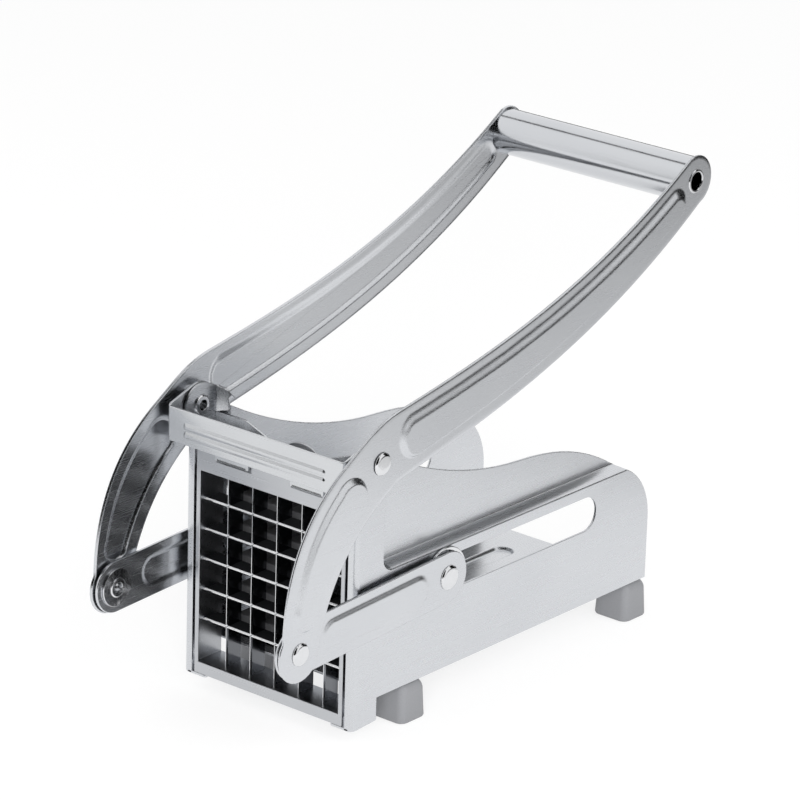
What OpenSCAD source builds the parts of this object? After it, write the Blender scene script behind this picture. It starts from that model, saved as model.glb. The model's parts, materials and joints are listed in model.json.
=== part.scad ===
// Hand-lever french fry cutter: a stamped stainless body, a lift-out blade
// cassette behind a flip-up latch bar, and a two-arm lever whose links pull a
// pegged pusher along slots in the side plates.
// Millimetres. +X is the cutter's right seen from the blades, -Y is the blade
// end, +Z is up. Z is 0 at the soles of the feet.

/* [Blade grid] */
// Distance between neighbouring blades
cell_pitch = 12; // [10:0.5:14]
// Cells from side to side
cells_across = 6; // [4:1:7]
// Cells from bottom to top
cells_up = 6; // [4:1:7]
// Depth of a blade strip from cutting edge to back
blade_depth = 8; // [6:0.5:10]
// Thickness of a blade strip
blade_sheet = 0.6; // [0.4:0.1:0.8]

/* [Blade cassette] */
// Sheet thickness of the cassette
cassette_sheet = 1; // [0.8:0.1:1.2]
// Depth of the cassette from its front face to its back edge
cassette_depth = 14; // [13:0.5:16]
// How far the cutting edges sit behind the cassette's front face
blade_setback = 3.8; // [3:0.2:5]
// Height of the lower front flange below the lowest cells
low_flange_h = 4.6; // [3:0.2:6]
// Height of the upper front flange above the highest cells
top_flange_h = 9.6; // [8:0.2:11]
// Width of the thin front rims at the cassette's sides
side_rim_w = 1.9; // [1.2:0.1:2.4]
// Extra height below the lowest row of cells
low_margin = 3.8; // [2:0.2:5]
// Half the width of the rounded pull tab
pull_tab_r = 11.5; // [9:0.5:12]

/* [Body] */
// Sheet thickness of the side plates and the floor
body_sheet = 1; // [0.8:0.1:1.2]
// Gap between the cassette's side and the inside of a side plate
guide_gap = 4.2; // [3.6:0.2:5]
// Height of the body's lower edge above the table
body_z = 16.5; // [15:0.5:20]
// Height of the front legs' lower edge above the table
leg_z = 6.5; // [5:0.5:8]
// Length of the flat front strip of a side plate
front_strip = 15.2; // [13.2:0.2:17]
// How far the upper panels step inwards
recess = 5.6; // [4:0.2:6]
// Height of the sloping fold between lower and upper panel
fold_rise = 1.5; // [1:0.1:2.5]
// Wall above the slot, up to the fold
fold_gap = 4.3; // [4:0.1:6]
// Length of body behind the slots
rear_land = 33.3; // [28:0.5:40]
// Radius of the body's upper rear corners
rear_round = 26; // [20:0.5:27]
// Radius of the ears round the main pivot
ear_r = 8.4; // [7.6:0.1:9.4]

/* [Lever] */
// Height of the main pivot above the cassette's top plate
pivot_rise = 21.4; // [19:0.2:24]
// Distance of the main pivot behind the cassette's front face
pivot_back = 6.8; // [6:0.2:8]
// Length of the lever's lower arm, pivot to link pin
low_arm = 73.8; // [70:0.2:78]
// Angle of the lower arm forward of straight down
low_rest = 34.7; // [30:0.1:38]
// Length of the lever's upper arm, pivot to grip
high_arm = 192; // [170:1:220]
// Angle of the upper arm above the horizontal
high_rest = 19.9; // [15:0.1:25]
// Sheet thickness of the arms and links
arm_sheet = 1.2; // [1:0.1:1.5]
// Width of the arm from the main pivot to its front edge above
arm_crown_w = 16; // [14:0.1:17]
// Width of the arm from the main pivot to its rear edge below
arm_heel_w = 11.5; // [10:0.1:13]
// Half the lower arm's width at the main pivot
arm_pivot_w = 14.5; // [13:0.1:15]
// Half the arm's width at the grip
arm_grip_w = 10.2; // [9.6:0.1:11]
// Half the arm's width at the link pin
arm_link_w = 11; // [10:0.1:12]
// Sag of the upper arm's middle line
high_bow = 9; // [4:0.5:12]
// Extra width of the upper arm's rear side, halfway along
arm_belly = 1.5; // [0:0.1:2.5]
// Forward bow of the lower arm's middle line
low_bow = 10.5; // [6:0.5:13]
// How far the arms' stamped panels stand proud
arm_pad_h = 1.3; // [0.6:0.1:1.4]
// How far the arms' round ends stand out round the grip tube
grip_rim = 1.2; // [0.8:0.1:2.2]
// Wall of the grip tube
grip_wall = 1; // [0.8:0.1:1.5]

/* [Link and slide] */
// Length of a link between its pins
link_len = 84.9; // [80:0.2:90]
// Half the width of a link
link_w = 10; // [9:0.1:10.6]
// How far the links' stamped panels stand proud
link_pad_h = 0.7; // [0.3:0.1:0.7]
// Height of the slots
slot_h = 13.7; // [12:0.1:14.5]
// Height of the slots' middle above the grid's middle
slot_rise = 2; // [0:0.1:4]
// Swing of the lever above its rest, in degrees
swing_up = 70; // [50:1:70]
// Swing of the lever below its rest, in degrees
swing_down = 18; // [10:1:18]
// Pusher travel for each degree of the lever
slide_per_degree = 1.19; // [1.0:0.01:1.19]

/* [Pusher] */
// Gap between the axle and the bracket that carries it
axle_gap = 4.5; // [1.5:0.1:4.9]
// Gap between neighbouring square pegs
peg_gap = 4; // [3.4:0.2:6]
// Length of a peg
peg_len = 12.8; // [12.8:0.2:14]
// Thickness of the pusher block behind its pegs
block_depth = 6; // [4:0.5:7]
// Sheet thickness of the pusher bracket
bracket_sheet = 1.5; // [1:0.1:1.8]
// Radius of the axle
axle_r = 4; // [3:0.1:4.4]

/* [Latch] */
// Sheet thickness of the latch bar
latch_sheet = 1; // [0.8:0.1:1.2]
// Distance of the latch bar's front face ahead of the cassette
latch_reach = 9.6; // [8:0.2:11]
// Height of the latch bar
latch_h = 13.3; // [12:0.1:14]
// Drop of the latch bar's lower edge below the main pivot
latch_drop = 9.8; // [9:0.1:10.4]

/* [Feet and rivets] */
// Width of a foot from side to side
foot_w = 16.5; // [13:0.5:18]
// Length of a foot from front to back
foot_l = 14.5; // [12:0.5:16]
// Radius of the rivet shanks
rivet_r = 3; // [2.4:0.1:3.4]
// Radius of the main pivots' and the link pins' heads
head_r = 4.4; // [3.9:0.1:5]
// Height of a rivet head
head_h = 1.1; // [0.8:0.1:1.4]

/* [Hidden] */
$fn = 64;

// Running clearance of a pin in its hole
running = 0.05;
// Clearance between sheets that pass each other
passing = 0.3;
// Overrun of a cut past the faces that it opens
over = 1;
// Steps along each stretch of a drawn curve and round a drawn end
curve_steps = 12;
cap_steps = 14;

// Grid and cassette
grid_w = cells_across * cell_pitch;
grid_h = cells_up * cell_pitch;
edge_trim = 0.6;
inside_half = grid_w / 2 - edge_trim;
cassette_half = inside_half + cassette_sheet;
cassette_floor = leg_z + body_sheet + low_flange_h;
grid_low = cassette_floor + low_margin;
grid_mid = grid_low + grid_h / 2;
top_margin = 0.5;
cassette_ceiling = grid_low + grid_h + top_margin;
cassette_top = cassette_ceiling + cassette_sheet;
flange_top = cassette_ceiling + top_flange_h;
front_y = -blade_setback;
cassette_rear = front_y + cassette_depth;
blade_lap = blade_depth / 2;
blade_fit = 0.05;
flange_round = 3;
hook_slot_h = 3;
hook_slot_w = 17;
hook_slot_x = 18.2;
hook_slot_drop = 1.2;

// Side plates
body_half = cassette_half + guide_gap + body_sheet;
body_inner = body_half - body_sheet;
slot_z = grid_mid + slot_rise;
slot_r = slot_h / 2;
fold_z = slot_z + slot_r + fold_gap;
strip_rear = front_y + front_strip;
leg_inset = 1.8;
leg_rear = strip_rear - leg_inset;
leg_slope = 1;
lip_w = 4;
ledge_w = 6.9;
stay_sheet = body_sheet;
stay_tall_share = 0.48;
stay_end_gap = 1;
stay_high = 4.3;
stay_low = 9.3;
stay_foot = 12.6;

// Lever geometry in the YZ plane
pivot_y = front_y + pivot_back;
pivot_z = cassette_top + pivot_rise;
pivot_at = [pivot_y, pivot_z];
link_pin_at = pivot_at + low_arm * [-sin(low_rest), -cos(low_rest)];
grip_at = pivot_at + high_arm * [cos(high_rest), sin(high_rest)];
slide_rise = slot_z - link_pin_at[1];
slide_at = link_pin_at + [sqrt(link_len * link_len - slide_rise * slide_rise), slide_rise];
travel_back = slide_per_degree * swing_up;
travel_front = slide_per_degree * swing_down;
slot_spare = 1;
slot_front = slide_at[0] - travel_front - slot_r - slot_spare;
slot_rear = slide_at[0] + travel_back + slot_r + slot_spare;
rear_y = slot_rear + rear_land;
ear_back_r = 3;
ear_reach = 7.6;
ear_lift = 2.6;
ear_back = [pivot_y + ear_reach, pivot_z + ear_lift];
ear_rear = ear_back[0] + ear_back_r;

// Stack of sheets outside a side plate
latch_inner = body_half + passing;
latch_half = latch_inner + latch_sheet;
slide_washer_t = 1;
slide_washer_in = body_half + passing;
slide_washer_out = slide_washer_in + slide_washer_t;
link_in = slide_washer_out + passing;
link_out = link_in + arm_sheet;
arm_in = link_out + link_pad_h + passing;
arm_out = arm_in + arm_sheet;
pin_tail_t = 0.5;
link_washer_t = link_in - body_half - passing - pin_tail_t - running;

// Top edge of a side plate: shares of the length behind the ear and of the
// height from the fold to the pivot, as control points of two curves
crest_rear_shares = [[0.910, 0.000], [0.826, 0.186], [0.718, 0.382], [0.521, 0.415]];
crest_front_shares = [[0.521, 0.415], [0.362, 0.441], [0.184, 0.611], [0.000, 0.960]];

// Stamped panels of the arms: shares of the arm's length where they start and end
high_pad_shares = [0.10, 0.93];
low_pad_shares = [0.24, 0.82];
// Where the rear edges of the arm's two stretches meet
high_heel_share = 0.03;
low_heel_share = 0.10;
// Where the crown's curve joins the front edges of the two stretches, and how far
// its handles reach, as a share of the straight line between those points
high_crown_share = 0.08;
low_crown_share = 0.10;
crown_pull_share = 0.40;
tangent_share = 0.01;
sag_skew = 1.2;
arm_front_rim = 6.2;
arm_rear_rim = 5.8;
link_pad_start = 14;
link_pad_end = 12;
link_pad_w = 6.2;

// Grip
grip_r = arm_grip_w - grip_rim;
grip_plug_t = 3;
eyelet_r = 3.9;
eyelet_wall = 0.5;
eyelet_rim_r = 4.7;
eyelet_rim_t = 0.5;

// Rivets and washers
tail_roll = 0.8;
tail_r = rivet_r + tail_roll;
tail_t = 1;
tail_wall = 1;
tail_hole_r = rivet_r - tail_wall;
washer_r = 6.6;
link_washer_r = 7.4;
slide_head_r = 4.9;
slide_washer_r = 11.4;
bush_gap = 0.1;
bush_r = slot_r - bush_gap;
bush_collar_r = 8.8;
bush_collar_t = 1.5;
head_lift = 0.2;

// Pusher
peg_w = cell_pitch - peg_gap;
peg_rim = 0.2;
block_lift = 1.5;
block_drop = 1.4;
block_half = (grid_w - peg_gap) / 2 + peg_rim;
block_low = body_z + body_sheet + block_lift;
block_top = cassette_ceiling - block_drop;
block_rear = slide_at[0] - axle_r - axle_gap - bracket_sheet;
block_front = block_rear - block_depth;
peg_face = block_front - peg_len;
bracket_side_inset = 1.2;
bracket_low_inset = 4;
bracket_top_inset = 3;
bracket_half = block_half - bracket_side_inset;
bracket_low = block_low + bracket_low_inset;
bracket_high = block_top - bracket_top_inset;
cheek_r = 11;
screw_r = 1.6;
screw_head_r = 3.4;
screw_head_h = 1.6;
screw_x_share = 0.62;
screw_z_share = 0.34;

// Latch bar
latch_front = front_y - latch_reach;
latch_low = pivot_z - latch_drop;
latch_top = latch_low + latch_h;
latch_eye_r = 8.5;
latch_belly_r = 8.6;
latch_belly_ahead = 1.2;
latch_belly_below = 5.7;
latch_belly = [pivot_y - latch_belly_ahead, pivot_z - latch_belly_below];
latch_rib_r = 1.3;
latch_rib_h = 0.9;
latch_rib_half = 33;
latch_rib_shares = [0.30, 0.54];
latch_lip_half = 33;
hook_play = 1;
hook_w = hook_slot_w - hook_play;
hook_h = 1;

// Floor
bead_x = 14;
bead_r = 5;
bead_drop = 1.2;
bead_front_gap = 18;
bead_rear_gap = 20;

// Feet
foot_inset = 0.2;
foot_out = body_half - foot_inset;
foot_front_y = 32;
foot_rear_inset = 4;
foot_round = 3.3;
foot_draft = 0.6;
foot_shoulder_h = 3;
foot_shoulder_in = 1.8;
foot_neck_h = 1.4;
foot_neck_in = 2.8;
foot_rivet_r = 2;
foot_rivet_head_r = 3.2;
foot_rivet_len = 8;
slice = 0.5;

STEEL = [0.80, 0.81, 0.83];
BRIGHT = [0.90, 0.91, 0.92];
BLADE = [0.86, 0.88, 0.90];
BLACK = [0.10, 0.10, 0.11];
GREY = [0.62, 0.63, 0.65];

// Point on a cubic curve with four control points
function curve_at(p, t) =
    pow(1 - t, 3) * p[0] + 3 * pow(1 - t, 2) * t * p[1] + 3 * (1 - t) * t * t * p[2] + pow(t, 3) * p[3];

// Points along a cubic curve, first control point left out
function curve(p) = [for (i = [1:curve_steps]) curve_at(p, i / curve_steps)];

// Place of a crest share pair on the side plate
function crest(share) = [
    ear_rear + share[0] * (rear_y - ear_rear),
    fold_z + share[1] * (pivot_z - fold_z)];

// Widths of the arm either side of its middle line, s being 0 at the main pivot and 1 at the far pin
function high_front(s) = arm_grip_w + (arm_crown_w - arm_grip_w) * pow(1 - s, 2);
function high_rear(s) = arm_grip_w + (arm_heel_w - arm_grip_w) * pow(1 - s, 2) + arm_belly * bow(s);
function low_w(s) = arm_pivot_w + (arm_link_w - arm_pivot_w) * s * s;

// A point beside the line from a to b: s along it, off to its left
function beside(a, b, s, off) =
    a + s * (b - a) + off * [-(b - a)[1], (b - a)[0]] / norm(b - a);

// Bow of a middle line, 0 at both ends and 1 halfway
function bow(s) = 4 * s * (1 - s);

// Points beside the bowed middle lines, off being positive towards the arm's front edge.
// The upper stretch sags most a little past halfway, nearer the grip
function high_at(s, off) = beside(pivot_at, grip_at, s, off - high_bow * bow(pow(s, sag_skew)));
function low_at(s, off) = beside(pivot_at, link_pin_at, s, -off - low_bow * bow(s));
function steps(s0, s1) = [for (i = [0:curve_steps]) s0 + (s1 - s0) * i / curve_steps];

// The origin is halfway between the lever's foremost and rearmost points
arm_front_y = min([for (s = steps(0, 1)) low_at(s, low_w(s))[0]]);
lever_front_y = min(arm_front_y, link_pin_at[0] - arm_link_w);
lever_rear_y = grip_at[0] + arm_grip_w;
middle_y = (lever_front_y + lever_rear_y) / 2;

// Moves a piece from the blades' datum to the part's frame
module placed() translate([0, -middle_y, 0]) children();

module right_side() placed() children();
module left_side() placed() mirror([1, 0, 0]) children();

// Extrudes an outline drawn in Y and Z from x0 to x1
module across(x0, x1) translate([x0, 0, 0]) rotate([90, 0, 90]) linear_extrude(x1 - x0) children();

// Extrudes an outline drawn in X and Z from y0 to y1
module along(y0, y1) translate([0, y1, 0]) rotate([90, 0, 0]) linear_extrude(y1 - y0) children();

// Round disc or pin across the body
module disc(at, r, x0, x1) across(x0, x1) translate(at) circle(r);

// Straight bar with two round ends of their own radii
module tangent_bar(a, ra, b, rb) {
    span = b - a;
    turn = atan2(span[1], span[0]);
    lean = acos((ra - rb) / norm(span));
    polygon([
        a + ra * [cos(turn + lean), sin(turn + lean)], a + ra * [cos(turn - lean), sin(turn - lean)],
        b + rb * [cos(turn - lean), sin(turn - lean)], b + rb * [cos(turn + lean), sin(turn + lean)]]);
    if (ra > 0) translate(a) circle(ra);
    if (rb > 0) translate(b) circle(rb);
}

// Box from its low corner to its high corner
module block(low, high) translate(low) cube(high - low);

// Flat outline of a side plate: leg, lower edge, rear corner, crest and ear
module side_outline() {
    arc_end = acos(1 - (1 - crest_rear_shares[0][0]) * (rear_y - ear_rear) / rear_round);
    arc_z = fold_z - rear_round * sin(arc_end);
    polygon(concat(
        [[front_y, leg_z], [leg_rear, leg_z + leg_slope], [leg_rear, body_z], [rear_y, body_z]],
        [for (i = [0:curve_steps]) let (a = arc_end * i / curve_steps)
            [rear_y - rear_round + rear_round * cos(a), arc_z + rear_round * sin(a)]],
        curve([for (share = crest_rear_shares) crest(share)]),
        curve([for (share = crest_front_shares) crest(share)]),
        [ear_back, pivot_at, [front_y, pivot_z]]));
    tangent_bar(pivot_at, ear_r, ear_back, ear_back_r);
}

module slot_outline()
    tangent_bar([slot_front + slot_r, slot_z], slot_r, [slot_rear - slot_r, slot_z], slot_r);

// Profiles of the sheet: lower skirt and front strip outside, upper panel stepped in
module side_sheet() {
    high = pivot_z + ear_r + over;
    panel_out = body_half - recess;
    panel_in = panel_out - body_sheet;
    step_y = strip_rear + fold_rise;
    step_z = fold_z + fold_rise;
    block([body_inner, front_y - ear_r, 0], [body_half, rear_y + over, fold_z]);
    block([body_inner, front_y - ear_r, 0], [body_half, strip_rear, high]);
    block([panel_in, step_y, step_z - body_sheet], [panel_out, rear_y + over, high]);
    along(strip_rear - body_sheet, rear_y + over)
        polygon([[body_half, fold_z - body_sheet], [body_half, fold_z], [panel_out, step_z],
            [panel_in, step_z], [panel_in, step_z - body_sheet], [body_inner, fold_z - body_sheet]]);
    translate([0, 0, fold_z - body_sheet]) linear_extrude(high - fold_z + body_sheet)
        polygon([[body_half, strip_rear - body_sheet], [body_half, strip_rear],
            [panel_out, step_y + body_sheet], [panel_in, step_y + body_sheet],
            [panel_in, step_y], [body_inner, strip_rear - body_sheet]]);
}

// Folds of the front edge: the lip that holds the cassette, its ledge and the upper stay
module side_folds() {
    lip_in = body_half - lip_w;
    stay_in = pull_tab_r + stay_end_gap;
    block([lip_in, front_y, leg_z], [body_half, front_y + body_sheet, flange_top]);
    block([lip_in - ledge_w, front_y, leg_z],
        [body_inner, leg_rear - body_sheet, leg_z + body_sheet]);
    along(strip_rear - stay_sheet, strip_rear)
        polygon([[body_inner, pivot_z - stay_foot], [body_inner, pivot_z - stay_high],
            [stay_in + stay_tall_share * (body_inner - stay_in), pivot_z - stay_high],
            [stay_in, pivot_z - stay_low], [stay_in, pivot_z - stay_foot]]);
}

module side_plate() color(STEEL) difference() {
    union() {
        intersection() {
            side_sheet();
            across(body_half - recess - body_sheet - over, body_half + over) side_outline();
        }
        side_folds();
    }
    across(body_half - recess - body_sheet - over, body_half + over) slot_outline();
    disc(pivot_at, rivet_r + running, body_inner - over, body_half + over);
}

module right_side_plate() right_side() side_plate();
module left_side_plate() left_side() side_plate();

module foot_places() for (side = [1, -1], y = [foot_front_y, rear_y - foot_rear_inset])
    translate([side * (foot_out - foot_w / 2), y, 0]) children();

// Floor sheet between the side plates, with two beads pressed down along it
module floor_pan() placed() color(STEEL) difference() {
    union() {
        block([-body_inner, strip_rear, body_z], [body_inner, rear_y, body_z + body_sheet]);
        for (side = [1, -1]) bead(side, body_z - bead_drop, bead_r);
    }
    for (side = [1, -1]) bead(side, body_z + body_sheet - bead_drop, bead_r - body_sheet, over);
    foot_places() {
        cylinder(r = foot_rivet_r + running, h = body_z + body_sheet + over);
        translate([0, 0, body_z])
            cylinder(r1 = foot_rivet_r + running, r2 = foot_rivet_head_r + running, h = body_sheet);
    }
}

// Sunk bead of the floor, from its underside upwards
module bead(side, low, r, above = 0) translate([side * bead_x, 0, low])
    linear_extrude(body_z + body_sheet - low + above)
    tangent_bar([0, strip_rear + bead_front_gap], r, [0, rear_y - bead_rear_gap], r);

// Cassette: an open box with front flanges, rear guide wings and a rounded pull tab
module blade_cassette() placed() color(STEEL) difference() {
    union() {
        block([-cassette_half, front_y, cassette_floor - cassette_sheet],
            [cassette_half, cassette_rear, cassette_top]);
        along(front_y, front_y + cassette_sheet) upper_flange_outline();
        block([-cassette_half, front_y, cassette_floor - low_flange_h],
            [cassette_half, front_y + cassette_sheet, cassette_floor]);
        for (side = [1, -1]) guide_wing(side);
        pull_tab();
    }
    block([-inside_half, front_y + cassette_sheet, cassette_floor],
        [inside_half, cassette_rear + over, cassette_ceiling]);
    block([side_rim_w - cassette_half, front_y - over, cassette_floor],
        [cassette_half - side_rim_w, front_y + cassette_sheet + over, cassette_ceiling]);
    for (side = [1, -1]) translate([side * hook_slot_x, 0, flange_top - hook_slot_drop - hook_slot_h])
        block([-hook_slot_w / 2, front_y - over, 0],
            [hook_slot_w / 2, front_y + cassette_sheet + over, hook_slot_h]);
}

module upper_flange_outline() for (side = [1, -1])
    union() {
        translate([side * (cassette_half - flange_round), flange_top - flange_round]) circle(flange_round);
        polygon([[0, cassette_ceiling], [0, flange_top],
            [side * (cassette_half - flange_round), flange_top],
            [side * (cassette_half - flange_round), flange_top - flange_round],
            [side * cassette_half, flange_top - flange_round], [side * cassette_half, cassette_ceiling]]);
    }

module guide_wing(side) {
    reach = body_inner - passing;
    low = side > 0 ? cassette_half : -reach;
    block([low, cassette_rear - cassette_sheet, cassette_floor],
        [low + reach - cassette_half, cassette_rear, cassette_ceiling]);
}

// Shelf behind the cassette's top plate, with the round tab standing on it
module pull_tab() {
    tab_y = strip_rear + passing + cassette_sheet;
    tab_top = pivot_z - stay_high - pull_tab_r / 4;
    tab_z = tab_top - pull_tab_r;
    block([-pull_tab_r, cassette_rear - over, cassette_ceiling],
        [pull_tab_r, tab_y + cassette_sheet, cassette_top]);
    along(tab_y, tab_y + cassette_sheet) {
        translate([-pull_tab_r, cassette_ceiling]) square([2 * pull_tab_r, tab_z - cassette_ceiling]);
        intersection() {
            translate([0, tab_z]) circle(pull_tab_r);
            translate([-pull_tab_r, tab_z]) square([2 * pull_tab_r, pull_tab_r]);
        }
    }
}

// Upright strips, notched from behind where the level strips cross them
module vertical_blades() placed() color(BLADE)
    for (i = [1:cells_across - 1]) translate([i * cell_pitch - grid_w / 2, 0, 0]) difference() {
        block([-blade_sheet / 2, 0, cassette_floor], [blade_sheet / 2, blade_depth, cassette_ceiling]);
        for (j = [1:cells_up - 1]) translate([0, blade_lap, grid_low + j * cell_pitch])
            block([-blade_sheet, 0, -blade_sheet / 2 - blade_fit],
                [blade_sheet, blade_depth, blade_sheet / 2 + blade_fit]);
    }

// Level strips, notched from the front where the upright strips cross them
module horizontal_blades() placed() color(BLADE)
    for (j = [1:cells_up - 1]) translate([0, 0, grid_low + j * cell_pitch]) difference() {
        block([-inside_half, 0, -blade_sheet / 2], [inside_half, blade_depth, blade_sheet / 2]);
        for (i = [1:cells_across - 1]) translate([i * cell_pitch - grid_w / 2, 0, 0])
            block([-blade_sheet / 2 - blade_fit, -over, -blade_sheet],
                [blade_sheet / 2 + blade_fit, blade_lap, blade_sheet]);
    }

// Foot: a drafted plastic block with rounded corners, sloping shoulders and a neck under the floor
module foot_outline(inset) for (x = [-1, 1], y = [-1, 1])
    translate([x * (foot_w / 2 - foot_round), y * (foot_l / 2 - foot_round)])
        circle(foot_round - inset, $fn = 32);

module foot() color(GREY) difference() {
    shoulder_z = body_z - foot_neck_h - foot_shoulder_h;
    union() {
        hull() {
            linear_extrude(slice) foot_outline(0);
            translate([0, 0, shoulder_z - slice]) linear_extrude(slice) foot_outline(foot_draft);
            translate([0, 0, body_z - foot_neck_h - slice]) linear_extrude(slice)
                foot_outline(foot_draft + foot_shoulder_in);
        }
        translate([0, 0, body_z - foot_neck_h - slice]) linear_extrude(foot_neck_h + slice)
            square([foot_w - 2 * foot_neck_in, foot_l - 2 * foot_neck_in], center = true);
    }
    translate([0, 0, body_z + body_sheet - foot_rivet_len]) cylinder(r = foot_rivet_r, h = foot_rivet_len);
}

module foot_at(side, y) placed() translate([side * (foot_out - foot_w / 2), y, 0]) foot();

module foot_front_right() foot_at(1, foot_front_y);
module foot_front_left() foot_at(-1, foot_front_y);
module foot_rear_right() foot_at(1, rear_y - foot_rear_inset);
module foot_rear_left() foot_at(-1, rear_y - foot_rear_inset);

// Countersunk rivets from the floor down into the feet, flush so that the pegs pass over them
module foot_rivets() placed() color(BRIGHT) foot_places() {
    translate([0, 0, body_z + body_sheet - foot_rivet_len]) cylinder(r = foot_rivet_r, h = foot_rivet_len);
    translate([0, 0, body_z]) cylinder(r1 = foot_rivet_r, r2 = foot_rivet_head_r, h = body_sheet);
}

// Head of a rivet: a flat-topped dome seated on the sheet at x
module rivet_head(at, r, x) translate([x, at[0], at[1]]) rotate([0, 90, 0]) rotate_extrude()
    polygon(concat([[0, 0], [r, 0]], [for (i = [1:curve_steps])
        let (a = 90 * i / curve_steps) [r * pow(cos(a), 0.5), head_h * sin(a)]]));

// Semi-tubular rivet of the main pivot, fixed in the ear, with its tail rolled over inside
module pivot_rivet() color(BRIGHT) difference() {
    union() {
        disc(pivot_at, rivet_r, body_inner, arm_out + head_lift + slice);
        rivet_head(pivot_at, head_r, arm_out + head_lift);
        disc(pivot_at, tail_r, body_inner - tail_t, body_inner);
    }
    disc(pivot_at, tail_hole_r, body_inner - tail_t - over, arm_in);
}

module right_pivot_rivet() right_side() pivot_rivet();
module left_pivot_rivet() left_side() pivot_rivet();

// Spacer between the latch bar's eye and the arm
module pivot_washer() color(BRIGHT) difference() {
    disc(pivot_at, washer_r, latch_half + running, arm_in - running);
    disc(pivot_at, rivet_r + running, latch_half - over, arm_in + over);
}

module right_pivot_washer() right_side() pivot_washer();
module left_pivot_washer() left_side() pivot_washer();

// Side cheek of the latch bar, round at the pivot and deeper below it
module latch_cheek() {
    tangent_bar([latch_front, latch_top], 0, pivot_at, latch_eye_r);
    tangent_bar([latch_front, latch_low], 0, latch_belly, latch_belly_r);
    tangent_bar(latch_belly, latch_belly_r, pivot_at, latch_eye_r);
    polygon([[latch_front, latch_low], [latch_front, latch_top], pivot_at, latch_belly]);
}

// Latch bar: front bar with two ribs, cheeks outside the ears, lip and hooks
module latch_bar() placed() color(STEEL) difference() {
    union() {
        block([-latch_half, latch_front, latch_low], [latch_half, latch_front + latch_sheet, latch_top]);
        for (side = [-latch_half, latch_inner]) across(side, side + latch_sheet) latch_cheek();
        along(latch_front - latch_rib_h, latch_front) for (share = latch_rib_shares)
            tangent_bar([-latch_rib_half, latch_low + share * latch_h], latch_rib_r,
                [latch_rib_half, latch_low + share * latch_h], latch_rib_r);
        block([-latch_lip_half, latch_front, latch_low],
            [latch_lip_half, front_y - passing, latch_low + latch_sheet]);
        for (side = [-1, 1]) translate([side * hook_slot_x, 0, 0]) hook();
    }
    disc(pivot_at, rivet_r + running, -latch_half - over, latch_half + over);
}

// Hook that reaches through the cassette's upper flange
module hook() {
    low = flange_top - hook_slot_drop - (hook_slot_h + hook_h) / 2;
    near = front_y - passing - latch_sheet;
    block([-hook_w / 2, near, low], [hook_w / 2, near + latch_sheet, latch_low + latch_sheet]);
    block([-hook_w / 2, near, low], [hook_w / 2, front_y + cassette_sheet + passing, low + hook_h]);
}

// Points of a round end, turning from one direction to another
function cap(c, r, from, to) = [for (i = [1:cap_steps - 1])
    let (a = from + (to - from) * i / cap_steps) c + r * [cos(a), sin(a)]];

// Curve of the crown, from the front edge of the lower stretch to that of the upper one
function crown() = let (
    start = low_at(low_crown_share, low_w(low_crown_share)),
    end = high_at(high_crown_share, high_front(high_crown_share)),
    before = low_at(low_crown_share + tangent_share, low_w(low_crown_share + tangent_share)),
    after = high_at(high_crown_share + tangent_share, high_front(high_crown_share + tangent_share)),
    pull = crown_pull_share * norm(end - start))
    curve([start, start + pull * (start - before) / norm(start - before),
        end - pull * (after - end) / norm(after - end), end]);

// Outline of a lever arm: front edge from link pin to grip, then back along the rear edge
module arm_outline() polygon(concat(
    [for (s = steps(1, low_crown_share)) low_at(s, low_w(s))],
    crown(),
    [for (s = steps(high_crown_share, 1)) if (s > high_crown_share) high_at(s, high_front(s))],
    cap(grip_at, arm_grip_w, high_rest + 90, high_rest - 90),
    [for (s = steps(1, high_heel_share)) high_at(s, -high_rear(s))],
    [for (s = steps(low_heel_share, 1)) low_at(s, -low_w(s))],
    cap(link_pin_at, arm_link_w, -low_rest, -low_rest - 180)));

// Stamped panel of the upper arm, drawn smaller by inset
module high_pad(inset) {
    s0 = high_pad_shares[0];
    s1 = high_pad_shares[1];
    front = arm_front_rim + inset;
    rear = arm_rear_rim + inset;
    polygon(concat(
        [for (s = steps(s0, s1)) high_at(s, high_front(s) - front)],
        cap(high_at(s1, (high_front(s1) - front - high_rear(s1) + rear) / 2),
            (high_front(s1) - front + high_rear(s1) - rear) / 2, high_rest + 90, high_rest - 90),
        [for (s = steps(s1, s0)) high_at(s, rear - high_rear(s))],
        cap(high_at(s0, (high_front(s0) - front - high_rear(s0) + rear) / 2),
            (high_front(s0) - front + high_rear(s0) - rear) / 2, high_rest - 90, high_rest - 270)));
}

// Stamped panel of the lower arm, drawn smaller by inset
module low_pad(inset) {
    s0 = low_pad_shares[0];
    s1 = low_pad_shares[1];
    front = arm_front_rim + inset;
    rear = arm_rear_rim + inset;
    polygon(concat(
        [for (s = steps(s1, s0)) low_at(s, low_w(s) - front)],
        cap(low_at(s0, (rear - front) / 2), low_w(s0) - (front + rear) / 2, 180 - low_rest, -low_rest),
        [for (s = steps(s0, s1)) low_at(s, rear - low_w(s))],
        cap(low_at(s1, (rear - front) / 2), low_w(s1) - (front + rear) / 2, -low_rest, -low_rest - 180)));
}

module arm_pads(inset) {
    high_pad(inset);
    low_pad(inset);
}

// Stamped sheet arm: its panels are pressed outwards, so they are hollow inside
module arm() color(STEEL) difference() {
    union() {
        across(arm_in, arm_out) arm_outline();
        across(arm_in, arm_out + arm_pad_h) arm_pads(0);
    }
    across(arm_in - over, arm_in + arm_pad_h) arm_pads(arm_sheet);
    disc(pivot_at, rivet_r + running, arm_in - over, arm_out + over);
    disc(link_pin_at, rivet_r, arm_in - over, arm_out + over);
    disc(grip_at, eyelet_r, arm_in - over, arm_out + over);
}

module right_arm() right_side() arm();
module left_arm() left_side() arm();

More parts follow.
